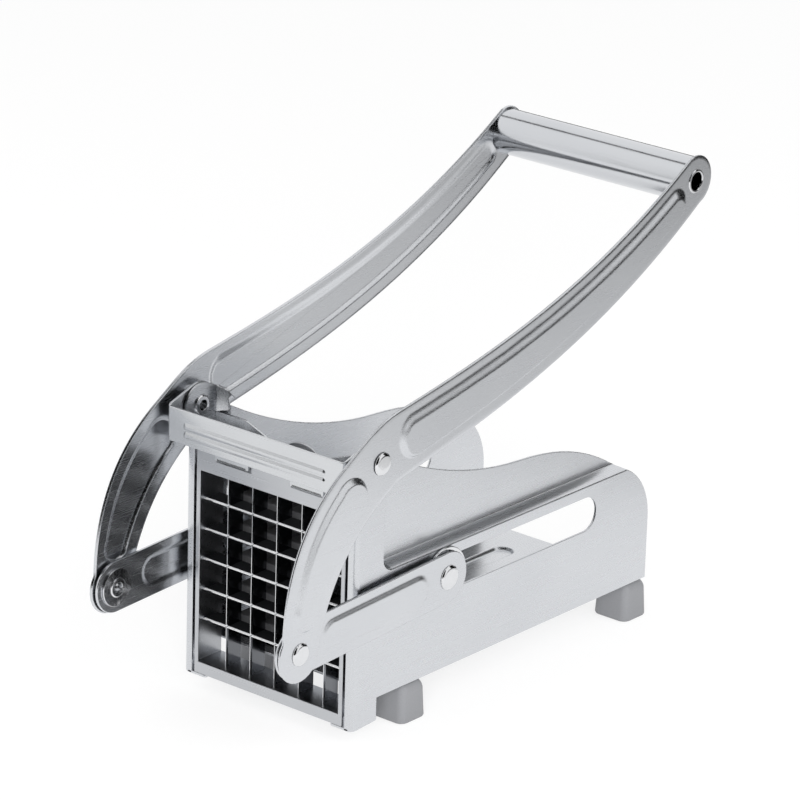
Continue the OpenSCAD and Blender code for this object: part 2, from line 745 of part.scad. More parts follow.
module grip_tube() placed() color(STEEL) difference() {
    disc(grip_at, grip_r, -arm_in, arm_in);
    disc(grip_at, grip_r - grip_wall, -arm_in - over, arm_in + over);
}

// Plugs inside the tube's ends, bored for the eyelets
module grip_end_plugs() placed() color(GREY) for (side = [-arm_in, arm_in - grip_plug_t]) difference() {
    disc(grip_at, grip_r - grip_wall, side, side + grip_plug_t);
    disc(grip_at, eyelet_r, side - over, side + grip_plug_t + over);
}

// Hollow eyelet that holds the arm on the grip
module grip_eyelet() color(BRIGHT) difference() {
    union() {
        disc(grip_at, eyelet_r, arm_in - grip_plug_t, arm_out);
        disc(grip_at, eyelet_rim_r, arm_out, arm_out + eyelet_rim_t);
    }
    disc(grip_at, eyelet_r - eyelet_wall, arm_in - grip_plug_t - over, arm_out + eyelet_rim_t + over);
}

module right_grip_eyelet() right_side() grip_eyelet();
module left_grip_eyelet() left_side() grip_eyelet();

// Pin at the arm's lower end, fixed in the arm and running in the link
module link_pin() color(BRIGHT) difference() {
    union() {
        rivet_head(link_pin_at, head_r, arm_out);
        disc(link_pin_at, rivet_r, body_half + passing, arm_out + slice);
        disc(link_pin_at, tail_r, body_half + passing, body_half + passing + pin_tail_t);
    }
    disc(link_pin_at, tail_hole_r, body_half - over, link_out);
}

module right_link_pin() right_side() link_pin();
module left_link_pin() left_side() link_pin();

module washer(at, r, hole, x0, x1) difference() {
    disc(at, r, x0, x1);
    disc(at, hole, x0 - over, x1 + over);
}

// Spacers between links and arms
module link_spacers() placed() color(BRIGHT) for (side = [0, 1]) mirror([side, 0, 0])
    washer(link_pin_at, washer_r, rivet_r, link_out + running, arm_in);

// Washers under the link pins' rolled tails
module link_washers() placed() color(BRIGHT) for (side = [0, 1]) mirror([side, 0, 0])
    washer(link_pin_at, link_washer_r, rivet_r, link_in - running - link_washer_t, link_in - running);

module link_outline() tangent_bar(link_pin_at, link_w, slide_at, link_w);

module link_pad(inset) {
    dir = (slide_at - link_pin_at) / link_len;
    tangent_bar(link_pin_at + dir * (link_pad_start + link_pad_w), link_pad_w - inset,
        slide_at - dir * (link_pad_end + link_pad_w), link_pad_w - inset);
}

// Stamped link between the lever and the pusher
module link() color(STEEL) difference() {
    union() {
        across(link_in, link_out) link_outline();
        across(link_in, link_out + link_pad_h) link_pad(0);
    }
    across(link_in - over, link_in + link_pad_h) link_pad(arm_sheet);
    disc(link_pin_at, rivet_r + running, link_in - over, link_out + over);
    disc(slide_at, rivet_r, link_in - over, link_out + over);
}

module right_link() right_side() link();
module left_link() left_side() link();

// Rivet in the link's rear eye
module slide_rivet() color(BRIGHT) {
    rivet_head(slide_at, slide_head_r, link_out);
    disc(slide_at, rivet_r, link_in, link_out + slice);
}

module right_slide_rivet() right_side() slide_rivet();
module left_slide_rivet() left_side() slide_rivet();

// Black moulded plate that carries the pegs
module pusher_block() placed() color(BLACK) difference() {
    block([-block_half, block_front, block_low], [block_half, block_rear, block_top]);
    screw_places() cylinder(r = screw_r, h = block_depth - slice);
}

// One square peg for each cell
module pusher_pegs() placed() color(BLACK)
    for (i = [0:cells_across - 1], j = [0:cells_up - 1])
        translate([(i + 0.5) * cell_pitch - grid_w / 2, 0, grid_low + (j + 0.5) * cell_pitch])
            block([-peg_w / 2, peg_face, -peg_w / 2], [peg_w / 2, block_front, peg_w / 2]);

// Screw axes, pointing forward from the back of the block
module screw_places() for (sx = [-1, 1], sz = [-1, 1])
    translate([sx * screw_x_share * bracket_half, block_rear,
        (bracket_low + bracket_high) / 2 + sz * screw_z_share * (bracket_high - bracket_low)])
        rotate([90, 0, 0]) children();

// Steel bracket behind the block, with a cheek at each side for the axle
module pusher_bracket() placed() color(STEEL) difference() {
    union() {
        block([-bracket_half, block_rear, bracket_low],
            [bracket_half, block_rear + bracket_sheet, bracket_high]);
        for (x = [-bracket_half, bracket_half - bracket_sheet]) across(x, x + bracket_sheet) axle_cheek();
    }
    disc(slide_at, axle_r + running, -bracket_half - over, bracket_half + over);
    screw_places() translate([0, 0, -bracket_sheet - over])
        cylinder(r = screw_r, h = bracket_sheet + 2 * over);
}

// Cheek of the bracket: square where it joins the plate, round behind the axle
module axle_cheek() {
    translate([block_rear, slot_z - cheek_r]) square([slide_at[0] - block_rear, 2 * cheek_r]);
    intersection() {
        translate(slide_at) circle(cheek_r);
        translate([block_rear, slot_z - cheek_r]) square([slide_at[0] + cheek_r - block_rear, 2 * cheek_r]);
    }
}

module pusher_screws() placed() color(BRIGHT) screw_places() {
    translate([0, 0, -bracket_sheet]) cylinder(r = screw_r, h = bracket_sheet + block_depth - slice);
    translate([0, 0, -bracket_sheet - screw_head_h]) cylinder(r = screw_head_r, h = screw_head_h);
}

module pusher_axle() placed() color(BRIGHT) disc(slide_at, axle_r, -slide_washer_out, slide_washer_out);

// Bush that runs in the slot, with a collar inside the side plate
module slide_bush() color(GREY) difference() {
    union() {
        disc(slide_at, bush_r, body_inner - passing, slide_washer_in);
        disc(slide_at, bush_collar_r, body_inner - passing - bush_collar_t, body_inner - passing);
    }
    disc(slide_at, axle_r, body_inner - passing - bush_collar_t - over, slide_washer_in + over);
}

module right_slide_bush() right_side() slide_bush();
module left_slide_bush() left_side() slide_bush();

// Large washers that close the slots outside
module slide_washers() placed() color(BRIGHT) for (side = [0, 1]) mirror([side, 0, 0])
    washer(slide_at, slide_washer_r, axle_r, slide_washer_in, slide_washer_out);

right_side_plate();
left_side_plate();
floor_pan();
blade_cassette();
vertical_blades();
horizontal_blades();
foot_front_right();
foot_front_left();
foot_rear_right();
foot_rear_left();
foot_rivets();
right_pivot_rivet();
left_pivot_rivet();
right_pivot_washer();
left_pivot_washer();
latch_bar();
right_arm();
left_arm();
grip_tube();
grip_end_plugs();
right_grip_eyelet();
left_grip_eyelet();
right_link_pin();
left_link_pin();
link_spacers();
link_washers();
right_link();
left_link();
right_slide_rivet();
left_slide_rivet();
pusher_block();
pusher_pegs();
pusher_bracket();
pusher_screws();
pusher_axle();
right_slide_bush();
left_slide_bush();
slide_washers();
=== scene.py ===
# %% [markdown]
# # A hand-lever french fry cutter
#
# The real cutter is a kitchen tool made almost wholly of pressed stainless
# sheet. A lever with two arms pulls two links, the links pull a black pegged
# pusher along slots in the side plates, and the pegs push a potato through a
# grid of blades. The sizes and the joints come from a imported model, and this
# lesson gives every piece its real surface: rounded edges, stamped panels,
# ground blades, turned rivets and moulded plastic.

import json
import math

import bmesh
import bpy
from mathutils import Matrix, Vector
from mathutils.geometry import convex_hull_2d, delaunay_2d_cdt


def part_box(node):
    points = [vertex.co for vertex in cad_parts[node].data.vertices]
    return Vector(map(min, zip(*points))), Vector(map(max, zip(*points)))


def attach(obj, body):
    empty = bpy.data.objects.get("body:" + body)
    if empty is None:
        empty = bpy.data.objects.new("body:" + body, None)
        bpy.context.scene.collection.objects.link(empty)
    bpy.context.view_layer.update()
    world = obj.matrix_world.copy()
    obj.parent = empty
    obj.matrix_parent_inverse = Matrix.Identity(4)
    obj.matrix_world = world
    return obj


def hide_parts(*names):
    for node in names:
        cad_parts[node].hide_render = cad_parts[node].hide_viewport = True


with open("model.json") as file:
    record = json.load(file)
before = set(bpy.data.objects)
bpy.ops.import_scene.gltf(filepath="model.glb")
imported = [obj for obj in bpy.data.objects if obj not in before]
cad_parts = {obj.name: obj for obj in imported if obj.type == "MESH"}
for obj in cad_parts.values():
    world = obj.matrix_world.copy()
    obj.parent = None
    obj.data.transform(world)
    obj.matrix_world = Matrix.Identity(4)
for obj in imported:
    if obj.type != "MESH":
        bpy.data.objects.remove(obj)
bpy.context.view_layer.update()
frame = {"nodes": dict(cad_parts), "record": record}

# %% [markdown]
# ## Places from the frame
#
# Every length below is in millimetres, as on a workshop drawing, and is
# turned to metres only when a mesh is made. The places of pins and sheets are
# read from the frame's boxes, so they can't drift from the model that moves.

# %% Places of the pins and sheets
MM = 0.001


def low(node):
    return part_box(node)[0] / MM


def high(node):
    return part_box(node)[1] / MM


def middle(node):
    """Y and Z of a node's centre."""
    return ((low(node) + high(node)) / 2).yz


def half_height(node):
    return (high(node).z - low(node).z) / 2


def x_ends(node):
    """Distances of a node's two ends from the middle plane, the nearer one first."""
    return sorted((abs(low(node).x), abs(high(node).x)))


pivot = middle("right_pivot_washer")
link_pin = middle("link_washers")
slide = middle("slide_washers")
grip = middle("grip_tube")
print("pivot", pivot, "link pin", link_pin, "slide", slide, "grip", grip)

# %% [markdown]
# ## The camera
#
# The product stands turned 40 degrees, seen from a little above through a
# long lens. A long lens keeps the side plates' edges nearly parallel. The
# camera goes in first, because every later choice is judged through it.

# %% Camera
CAMERA_TURN = math.radians(39.717)
CAMERA_RISE = math.radians(20.143)
CAMERA_ROLL = math.radians(1.698)
CAMERA_PLACE = (1.0221, -1.2343, 0.6927)
LENS_MM = 206.0
SENSOR_MM = 36.0


def toward(turn, rise):
    """The direction from the cutter at a turn from its front and a rise, in radians."""
    return Vector((math.sin(turn) * math.cos(rise), -math.cos(turn) * math.cos(rise),
                   math.sin(rise)))


back = toward(CAMERA_TURN, CAMERA_RISE)
level = Vector((math.cos(CAMERA_TURN), math.sin(CAMERA_TURN), 0))
upward = back.cross(level)
view_right = math.cos(CAMERA_ROLL) * level + math.sin(CAMERA_ROLL) * upward
view_up = math.cos(CAMERA_ROLL) * upward - math.sin(CAMERA_ROLL) * level

camera_data = bpy.data.cameras.new("camera")
camera_data.lens = LENS_MM
camera_data.sensor_width = SENSOR_MM
camera = bpy.data.objects.new("camera", camera_data)
turn = Matrix((view_right, view_up, back)).transposed().to_4x4()
camera.matrix_world = Matrix.Translation(CAMERA_PLACE) @ turn
bpy.context.scene.collection.objects.link(camera)
bpy.context.scene.camera = camera
print("the camera is", round(Vector(CAMERA_PLACE).length, 3), "m away")

# %% [markdown]
# ## Drawing outlines
#
# Sheet parts start as flat blanks. A blank's edge is made of straight runs and
# arcs, so a few small helpers are enough: a rectangle, an arc, a round hole,
# the outline that a belt takes round some circles, and a smooth curve.

# %% Rectangles, arcs, holes, belts and curves
CURVE_STEPS = 12
HOLE_STEPS = 40


def rectangle(left, right, near, far):
    return [(left, near), (right, near), (right, far), (left, far)]


def arc(centre, radius, start, end, steps=CURVE_STEPS):
    """Points from one direction to another, in degrees."""
    turns = [math.radians(start + (end - start) * i / steps) for i in range(steps + 1)]
    return [Vector(centre) + radius * Vector((math.cos(a), math.sin(a))) for a in turns]


def hole(centre, radius):
    return arc(centre, radius, 0, 360, HOLE_STEPS)[:-1]


def belt(*circles):
    """Outline of the tightest belt round circles, each a centre and a radius."""
    points = []
    for centre, radius in circles:
        points += hole(centre, radius) if radius else [Vector(centre)]
    return [points[i] for i in convex_hull_2d(points)]


def curve(a, b, c, d):
    """Points along a cubic curve, its first point left out."""
    shares = [i / CURVE_STEPS for i in range(1, CURVE_STEPS + 1)]
    return [(1 - t) ** 3 * a + 3 * (1 - t) ** 2 * t * b + 3 * (1 - t) * t * t * c + t ** 3 * d
            for t in shares]


# %% [markdown]
# ## From blank to pressed sheet
#
# A press turns a flat blank into a formed part: it folds lips, steps panels
# and raises ribs. The same order works here. The blank is cut into triangles
# along its outline, its holes and every line where the press bends it. Then a
# rule moves each point into place, a Solidify modifier gives the sheet its
# thickness, and a Bevel rounds the cut edges as tumbling does. The bends are
# geometry and not a bump map, so light runs along them from any side.

# %% Mesh helpers
EDGE_ROUND = 0.2
SHARP_ANGLE = math.radians(35)
FLAT_ANGLE = math.radians(0.2)
JOIN_DISTANCE = 0.001


def make(name, points, faces):
    """An object whose mesh has these points, in millimetres."""
    mesh = bpy.data.meshes.new(name)
    mesh.from_pydata([Vector(p) * MM for p in points], [], faces)
    piece = bpy.data.objects.new(name, mesh)
    bpy.context.scene.collection.objects.link(piece)
    return piece


def tidy(piece, outward=None):
    """Joins doubled points, clears lines on flat faces and points the faces outward."""
    work = bmesh.new()
    work.from_mesh(piece.data)
    bmesh.ops.delete(work, geom=[v for v in work.verts if not v.link_faces], context="VERTS")
    bmesh.ops.remove_doubles(work, verts=work.verts, dist=JOIN_DISTANCE * MM)
    bmesh.ops.dissolve_limit(work, angle_limit=FLAT_ANGLE, verts=work.verts, edges=work.edges)
    bmesh.ops.recalc_face_normals(work, faces=work.faces)
    if outward is not None:
        facing = sum((f.normal * f.calc_area() for f in work.faces), Vector())
        if facing.dot(outward) < 0:
            bmesh.ops.reverse_faces(work, faces=work.faces)
    work.to_mesh(piece.data)
    work.free()


def round_edges(piece, width, segments=2):
    """Rounds every sharp edge, and keeps the faces beside it flat to the eye."""
    bevel = piece.modifiers.new("rounded edges", "BEVEL")
    bevel.width = width * MM
    bevel.segments = segments
    bevel.limit_method = "ANGLE"
    bevel.angle_limit = SHARP_ANGLE
    bevel.use_clamp_overlap = False
    normals = piece.modifiers.new("flat faces", "WEIGHTED_NORMAL")
    normals.keep_sharp = True


def settle(piece):
    """Shades a piece smooth and turns its modifiers into its mesh."""
    piece.data.polygons.foreach_set("use_smooth", [True] * len(piece.data.polygons))
    bpy.context.view_layer.update()
    shaped = piece.evaluated_get(bpy.context.evaluated_depsgraph_get())
    piece.data = bpy.data.meshes.new_from_object(shaped)
    piece.modifiers.clear()
    return piece


def join(name, pieces):
    """One object from several closed shells of the same part."""
    whole = make(name, [], [])
    work = bmesh.new()
    for piece in pieces:
        work.from_mesh(piece.data)
        bpy.data.objects.remove(piece)
    work.to_mesh(whole.data)
    work.free()
    return whole


# %% Cutting and pressing
CUT_TOLERANCE = 1e-4
OVERSHOOT = 1.0
PRESS_STEPS = 7


def inside(point, loop):
    """Whether a point lies inside a closed outline."""
    hit = False
    for a, b in zip(loop, loop[1:] + loop[:1]):
        if (a[1] > point[1]) != (b[1] > point[1]):
            hit ^= point[0] < (b[0] - a[0]) * (point[1] - a[1]) / (b[1] - a[1]) + a[0]
    return hit


def cut_blank(outline, holes, lines, rim=0):
    """Points, heights and triangles of a blank. A line is its points, its height and
    whether it closes, and an open line overshoots the outline. The rim is the height of the
    outline itself."""
    outline, *holes = [[Vector(p) for p in loop] for loop in (outline, *holes)]
    points, heights, edges = [], [], []
    for loop, height, closed in [(outline, rim, True), *((h, 0, True) for h in holes), *lines]:
        start = len(points)
        points += [Vector(p) for p in loop]
        heights += [height] * len(loop)
        edges += [(start + i, start + i + 1) for i in range(len(loop) - 1)]
        if closed:
            edges.append((len(points) - 1, start))
    found, _, faces, origins, _, _ = delaunay_2d_cdt(points, edges, [], 0, CUT_TOLERANCE, True)
    kept = []
    for face in faces:
        centre = sum((found[i] for i in face), Vector((0, 0))) / len(face)
        if inside(centre, outline) and not any(inside(centre, h) for h in holes):
            kept.append(face)
    raised = [max((heights[k] for k in origin), default=0) for origin in origins]
    return found, raised, kept


def pressed(name, outline, place, sheet, outward, holes=(), lines=(), edge=EDGE_ROUND, rim=0):
    """A sheet part: its blank is pressed by the rule place(u, v, height) and thickened
    away from its outer face."""
    found, raised, faces = cut_blank(outline, holes, lines, rim)
    piece = make(name, [place(p[0], p[1], h) for p, h in zip(found, raised)], faces)
    tidy(piece, Vector(outward))
    solid = piece.modifiers.new("sheet", "SOLIDIFY")
    solid.thickness = sheet * MM
    solid.offset = -1
    solid.use_even_offset = True
    round_edges(piece, edge)
    return settle(piece)


def smooth_step(share):
    """A rise from 0 to 1 that starts and ends level."""
    share = min(max(share, 0), 1)
    return share * share * (3 - 2 * share)


def stamped(loop_at, height, slope):
    """Contour lines of a stamped panel: loop_at(inset) gives its outline, drawn smaller."""
    shares = [i / PRESS_STEPS for i in range(PRESS_STEPS + 1)]
    return [(loop_at(slope * share), height * smooth_step(share), True) for share in shares]


# %% [markdown]
# ## Turned parts
#
# Rivets, washers, bushes, the axle and the grip tube are all round. Each is a
# profile spun about its own line, which is also how a lathe makes it. A
# profile lists distances from the cutter's middle plane and radii.

# %% Lathe
LATHE_STEPS = 64


def turned(name, profile, at, sides=(1,), ring=False, edge=EDGE_ROUND):
    """A piece of revolution about the line across the body at Y and Z. A ring's
    profile closes."""
    points, faces = [], []
    for side in sides:
        rows = []
        for x, radius in profile:
            count = LATHE_STEPS if radius else 1
            rows.append(list(range(len(points), len(points) + count)))
            points += [(side * x, at[0] + radius * math.cos(2 * math.pi * i / count),
                        at[1] + radius * math.sin(2 * math.pi * i / count))
                       for i in range(count)]
        for a, b in zip(rows, rows[1:] + rows[:1] if ring else rows[1:]):
            for i in range(LATHE_STEPS):
                quad = [a[i % len(a)], a[(i + 1) % len(a)], b[(i + 1) % len(b)], b[i % len(b)]]
                faces.append(list(dict.fromkeys(quad)))
    piece = make(name, points, faces)
    tidy(piece)
    round_edges(piece, edge)
    return settle(piece)


# %% [markdown]
# ## Colours and nodes
#
# Colours are written as sRGB hex values, as a paint card gives them, and one
# function turns them into the linear values that the renderer adds up. One
# small function adds a shader node with its settings and its links.

# %% Colour and node helpers
def linear(hex_colour):
    """Linear RGBA of an sRGB hex value."""
    shares = [int(hex_colour[i:i + 2], 16) / 255 for i in (1, 3, 5)]
    return [s / 12.92 if s <= 0.04045 else ((s + 0.055) / 1.055) ** 2.4 for s in shares] + [1]


def fill(tree, node, inputs):
    """Sets or links the inputs of a node."""
    for socket, value in inputs.items():
        if isinstance(value, bpy.types.NodeSocket):
            tree.links.new(value, node.inputs[socket])
        else:
            node.inputs[socket].default_value = value
    return node


def add(tree, kind, inputs=None, **settings):
    """Adds a node with its settings and its inputs."""
    node = tree.nodes.new("ShaderNode" + kind)
    for name, value in settings.items():
        setattr(node, name, value)
    return fill(tree, node, inputs or {})


MIX_FACTOR, MIX_A, MIX_B, MIX_RESULT = 0, 6, 7, 2


def new_material(name):
    material = bpy.data.materials.new(name)
    material.use_nodes = True
    return material, material.node_tree, material.node_tree.nodes["Principled BSDF"]


def grained(tree, shader, pale, deep, size, strength):
    """Gives a surface one grain in tone and height, and returns that grain."""
    place = add(tree, "TexCoord").outputs["Object"]
    grain = add(tree, "TexNoise",
                {"Vector": place, "Scale": 1 / (size * MM), "Detail": 2.0}).outputs["Fac"]
    tone = add(tree, "Mix",
               {MIX_FACTOR: grain, MIX_A: linear(deep), MIX_B: linear(pale)}, data_type="RGBA")
    bump = add(tree, "Bump",
               {"Height": grain, "Strength": strength, "Distance": size * MM})
    fill(tree, shader, {"Base Color": tone.outputs[MIX_RESULT], "Normal": bump.outputs[0]})
    return grain


# %% [markdown]
# ## Satin stainless steel
#
# The sheet is 18/8 stainless steel, AISI 304. It is rolled and then given a
# satin finish on a fine belt, which leaves hair-thin scratches along it. The
# eye sees a pale cool grey with a soft blurred reflection. Real scratches are
# near 0.05 mm across, too fine for this picture, so they are drawn 0.5 mm
# across and 25 mm long, and very faint. Two greys a few steps apart give the
# slow drift in tone that rolled sheet has. A metal's colour already says how
# it reflects, so the index of refraction keeps its default.

# %% Satin metal
SCRATCH_WIDTH = 0.5
SCRATCH_LENGTH = 25.0
SCRATCH_STRENGTH = 0.0015
SCRATCH_RANGE = (0.3, 0.7)
DRIFT_SIZE = 40.0


def satin_metal(name, pale, deep, roughness, spread, along="Y"):
    """Belt-finished metal whose scratches run along one axis."""
    material, tree, shader = new_material(name)
    place = add(tree, "TexCoord").outputs["Object"]
    scale = [1 / ((SCRATCH_LENGTH if axis == along else SCRATCH_WIDTH) * MM) for axis in "XYZ"]
    stretched = add(tree, "Mapping", {"Vector": place, "Scale": scale}).outputs[0]
    scratches = add(tree, "TexNoise",
                    {"Vector": stretched, "Scale": 1.0, "Detail": 3.0}).outputs["Fac"]
    drift = add(tree, "TexNoise",
                {"Vector": place, "Scale": 1 / (DRIFT_SIZE * MM), "Detail": 2.0}).outputs["Fac"]
    tone = add(tree, "Mix",
               {MIX_FACTOR: drift, MIX_A: linear(deep), MIX_B: linear(pale)}, data_type="RGBA")
    haze = add(tree, "MapRange",
               {"Value": scratches, "From Min": SCRATCH_RANGE[0], "From Max": SCRATCH_RANGE[1],
                "To Min": roughness - spread, "To Max": roughness + spread})
    bump = add(tree, "Bump", {"Height": scratches, "Strength": SCRATCH_STRENGTH,
                                        "Distance": SCRATCH_WIDTH * MM})
    fill(tree, shader, {"Base Color": tone.outputs[MIX_RESULT], "Roughness": haze.outputs[0],
                        "Normal": bump.outputs[0], "Metallic": 1})
    return material


finishes = {
    "body_steel": satin_metal("satin_304_sheet_body", "#D8DADD", "#CFD1D5", 0.28, 0.02),
    "cassette_steel": satin_metal("satin_304_sheet_cassette", "#C9CBCE", "#BDBFC3", 0.30, 0.03,
                                  "X"),
    "arm_steel": satin_metal("satin_304_sheet_arms", "#D8DADD", "#CED0D4", 0.26, 0.02),
    "link_steel": satin_metal("satin_304_sheet_links", "#D8DADD", "#CED0D4", 0.26, 0.02),
    "latch_steel": satin_metal("satin_304_sheet_latch", "#D6D8DA", "#CDCFD2", 0.26, 0.02, "X"),
    "grip_steel": satin_metal("polished_304_tube", "#D6D8DB", "#CED0D4", 0.16, 0.03, "X"),
    "bracket_steel": satin_metal("mill_finish_304_bracket", "#BFC1C4", "#B1B3B7", 0.34, 0.05,
                                 "X"),
}
print("satin metals:", len(finishes))

# %% [markdown]
# ## Ground blade strip
#
# The blades are a harder steel, AISI 420, polished on its flanks and ground
# at the cutting edge. Their colour is painted light and shade, set by the way
# each face points: the ground faces get a bright painted highlight, the
# upright flanks a darker painted shade, and the flanks of the level strips,
# which face up and down, a dark painted shade with no metal, so that the cells
# read dark between bright edges. The surface's own normal tells the three
# apart: the ground faces lean forward, and level flanks point up or down.

# %% Blade steel
# Painted light: a bright painted highlight on the ground faces, a mid painted shade on the upright
# flanks, a dark painted shade on the level flanks.
EDGE_PAINTED_HIGHLIGHT, UPRIGHT_PAINTED_SHADE, LEVEL_PAINTED_SHADE = "#F0F1F3", "#77797D", "#1E1F21"
GROUND_LEAN = (-0.04, -0.14)
LEVEL_RISE = (0.5, 0.8)
POLISH_TO_SHADED_ROUGHNESS = (0.15, 0.7)

blade_finish, tree, shader = new_material("blade_strip_painted_highlight_and_shade")
facing = add(tree, "TexCoord").outputs["Normal"]
facing = add(tree, "SeparateXYZ", {"Vector": facing}).outputs
rise = add(tree, "Math", {0: facing["Z"]}, operation="ABSOLUTE").outputs[0]
level_flank = add(tree, "MapRange", {"Value": rise, "From Min": LEVEL_RISE[0],
                                               "From Max": LEVEL_RISE[1]}).outputs[0]
flank = add(tree, "Mix", {MIX_FACTOR: level_flank, MIX_A: linear(UPRIGHT_PAINTED_SHADE),
                                    MIX_B: linear(LEVEL_PAINTED_SHADE)}, data_type="RGBA")
ground = add(tree, "MapRange", {"Value": facing["Y"], "From Min": GROUND_LEAN[0],
                                          "From Max": GROUND_LEAN[1]})
tone = add(tree, "Mix", {MIX_FACTOR: ground.outputs[0], MIX_A: flank.outputs[MIX_RESULT],
                                   MIX_B: linear(EDGE_PAINTED_HIGHLIGHT)}, data_type="RGBA")
haze = add(tree, "MapRange", {"Value": level_flank, "To Min": POLISH_TO_SHADED_ROUGHNESS[0],
                                        "To Max": POLISH_TO_SHADED_ROUGHNESS[1]})
# The level flanks lose their metal as well, so that no reflection lifts their painted dark shade.
metallic_off_for_painted_shade = add(tree, "MapRange", {"Value": level_flank, "To Min": 1.0, "To Max": 0.0})
fill(tree, shader, {"Base Color": tone.outputs[MIX_RESULT], "Roughness": haze.outputs[0],
                    "Metallic": metallic_off_for_painted_shade.outputs[0], "Specular IOR Level": 0.15})
finishes["blade_steel"] = blade_finish
print("blade steel:", EDGE_PAINTED_HIGHLIGHT, "edge,", UPRIGHT_PAINTED_SHADE, "upright flank,", LEVEL_PAINTED_SHADE, "level flank")

# %% [markdown]
# ## Plated rivets
#
# Rivets, pins, washers and screws are steel with a thin coat of bright nickel.
# They are tumbled in a barrel, so they mirror sharply but for tiny dents,
# drawn here as a noise 2 mm across.

# %% Nickel plate
DENT_SIZE = 2.0
DENT_STRENGTH = 0.03

plate_finish, tree, shader = new_material("bright_nickel_plate")
grained(tree, shader, "#E2E3E5", "#DADBDD", DENT_SIZE, DENT_STRENGTH)
fill(tree, shader, {"Metallic": 1, "Roughness": 0.12})
finishes["rivet_steel"] = plate_finish
print("nickel plate with dents", DENT_SIZE, "mm across")

# %% [markdown]
# ## Moulded plastic
#
# The pusher is black ABS, but it is coloured a mid grey lighter than black
# dye, a painted light that lets its pegs read as lit deep in the grid. The
# feet are grey polypropylene.
# Both are injection moulded in a lightly sparked tool, so they have a dull
# grain of about half a millimetre. The acetal bushes are turned and get the
# same grain, a little smoother. The index of refraction is near 1.5 for each.
# The grain varies both the roughness and, very slightly, the height.

# %% Sparked plastic
GRAIN_SIZE = 0.5
GRAIN_STRENGTH = 0.08
GRAIN_HAZE = 0.06


def sparked_plastic(name, pale, deep, roughness, ior):
    material, tree, shader = new_material(name)
    grain = grained(tree, shader, pale, deep, GRAIN_SIZE, GRAIN_STRENGTH)
    haze = add(tree, "MapRange", {"Value": grain, "To Min": roughness - GRAIN_HAZE,
                                            "To Max": roughness + GRAIN_HAZE})
    fill(tree, shader, {"Roughness": haze.outputs[0], "IOR": ior})
    return material


# The pusher's mid grey is painted light: black ABS lightened so that its pegs read lit inside the
# grid.
finishes["pusher_plastic"] = sparked_plastic("moulded_black_abs", "#5E5E60", "#545456", 0.42, 1.54)
finishes["foot_plastic"] = sparked_plastic("moulded_grey_polypropylene", "#8A8B8E", "#808184",
                                           0.45, 1.49)
finishes["bush_plastic"] = sparked_plastic("turned_grey_acetal", "#9C9DA0", "#929396", 0.36, 1.48)
print("finishes:", sorted(finishes))

# %% [markdown]
# ## Dressing a piece
#
# Each new piece moves with the body that its node belongs to, hides that
# node, and takes the finish that the record names for it. Keeping these steps
# in one function means that no piece can miss one. Most of the linkage comes
# in pairs, a right piece and its mirror image, so turned and stamped pieces
# have a function that makes and dresses both.

# %% Body, node and finish of a piece
BODY_OF = {node: body for body, nodes in frame["record"]["behaviour"]["bodies"].items()
           for node in nodes}
SLOT_OF = {part["node"]: part["material_slot"] for part in frame["record"]["subparts"]}
ARM_SHEET = 1.2
STAMPED_ROUND = 0.3


def dress(piece, node):
    """Seats a piece on its body in place of its node, in the node's finish."""
    finish, body = SLOT_OF[node], BODY_OF[node]
    piece.data.materials.clear()
    piece.data.materials.append(finishes[finish])
    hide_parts(node)
    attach(piece, body)
    print(f"{piece.name}: {len(piece.data.polygons)} faces, {finish}, on {body}")


SIDES = (("right", 1), ("left", -1))


def turned_pair(part, profile, at, ring=False, edge=EDGE_ROUND, suffix="_turned"):
    """A turned piece for the right node of a part and one for its left node."""
    for label, side in SIDES:
        node = f"{label}_{part}"
        dress(turned(node + suffix, profile, at, (side,), ring, edge), node)


def stamped_pair(part, outline, outer_x, holes, lines, rim=0):
    """A stamped strip for the right node of a part and one for its left node."""
    for label, side in SIDES:
        node = f"{label}_{part}"
        dress(pressed(node + "_stamped", outline,
                      lambda y, z, height: (side * (outer_x + height), y, z), ARM_SHEET,
                      (side, 0, 0), holes, lines, STAMPED_ROUND, rim), node)


def washer(node, at, radius, bore, x0, x1, sides=(1, -1), edge=EDGE_ROUND):
    """A washer or a tube in place of its node, at one side of the cutter or at both."""
    profile = [(x0, bore), (x0, radius), (x1, radius), (x1, bore)]
    dress(turned(node + "_turned", profile, at, sides, True, edge), node)


# %% [markdown]
# ## Softening a modelled part
#
# A few parts are already the right shape in the frame, such as the cassette
# and the bracket, and only miss their rounded edges. The frame's own meshes
# stay as they are. A copy gets the rounding and stands in for its node.

# %% Rounded copy of a node
def soften(node, ending, width, segments=3):
    piece = make(node + ending, [], [])
    piece.data = frame["nodes"][node].data.copy()
    tidy(piece)
    round_edges(piece, width, segments)
    dress(settle(piece), node)


# %% [markdown]
# ## Side plates
#
# Each side is one pressing. The lower skirt and the front strip stand outside,
# and the upper panel steps inwards by 5.6 mm, which stiffens the tall thin
# ear. The front edge folds into a lip that holds the blade cassette. On the
# blank the fold is only a strip of extra width, so the rule below wraps that
# strip round a bend of small radius. FIT is the play of a hole round its rivet
# and of a notch round its blade.

# %% Sizes of a side plate
BODY_SHEET = 1.0
RECESS = 5.6
FOLD_RUN = 2.2
FOLD_CORNER = 5.0
LIP_W = 4.0
BEND_R = 2.2
LEG_INSET = 1.8
LEG_SLOPE = 1.0
FRONT_STRIP = 15.2
FOLD_ABOVE_SLOT = 4.3
SLOT_R = 6.85
SLOT_AHEAD = 22.42
SLOT_BEHIND = 84.3
REAR_ROUND = 26.0
EAR_BACK = Vector((7.6, 2.6))
EAR_BACK_R = 3.0
EAR_START = 0.3
RIVET_R = 3.0
FIT = 0.05
CREST_REAR = [(0.910, 0.000), (0.826, 0.186), (0.718, 0.382), (0.521, 0.415)]
CREST_FRONT = [(0.521, 0.415), (0.362, 0.441), (0.184, 0.611), (0.000, 0.960)]

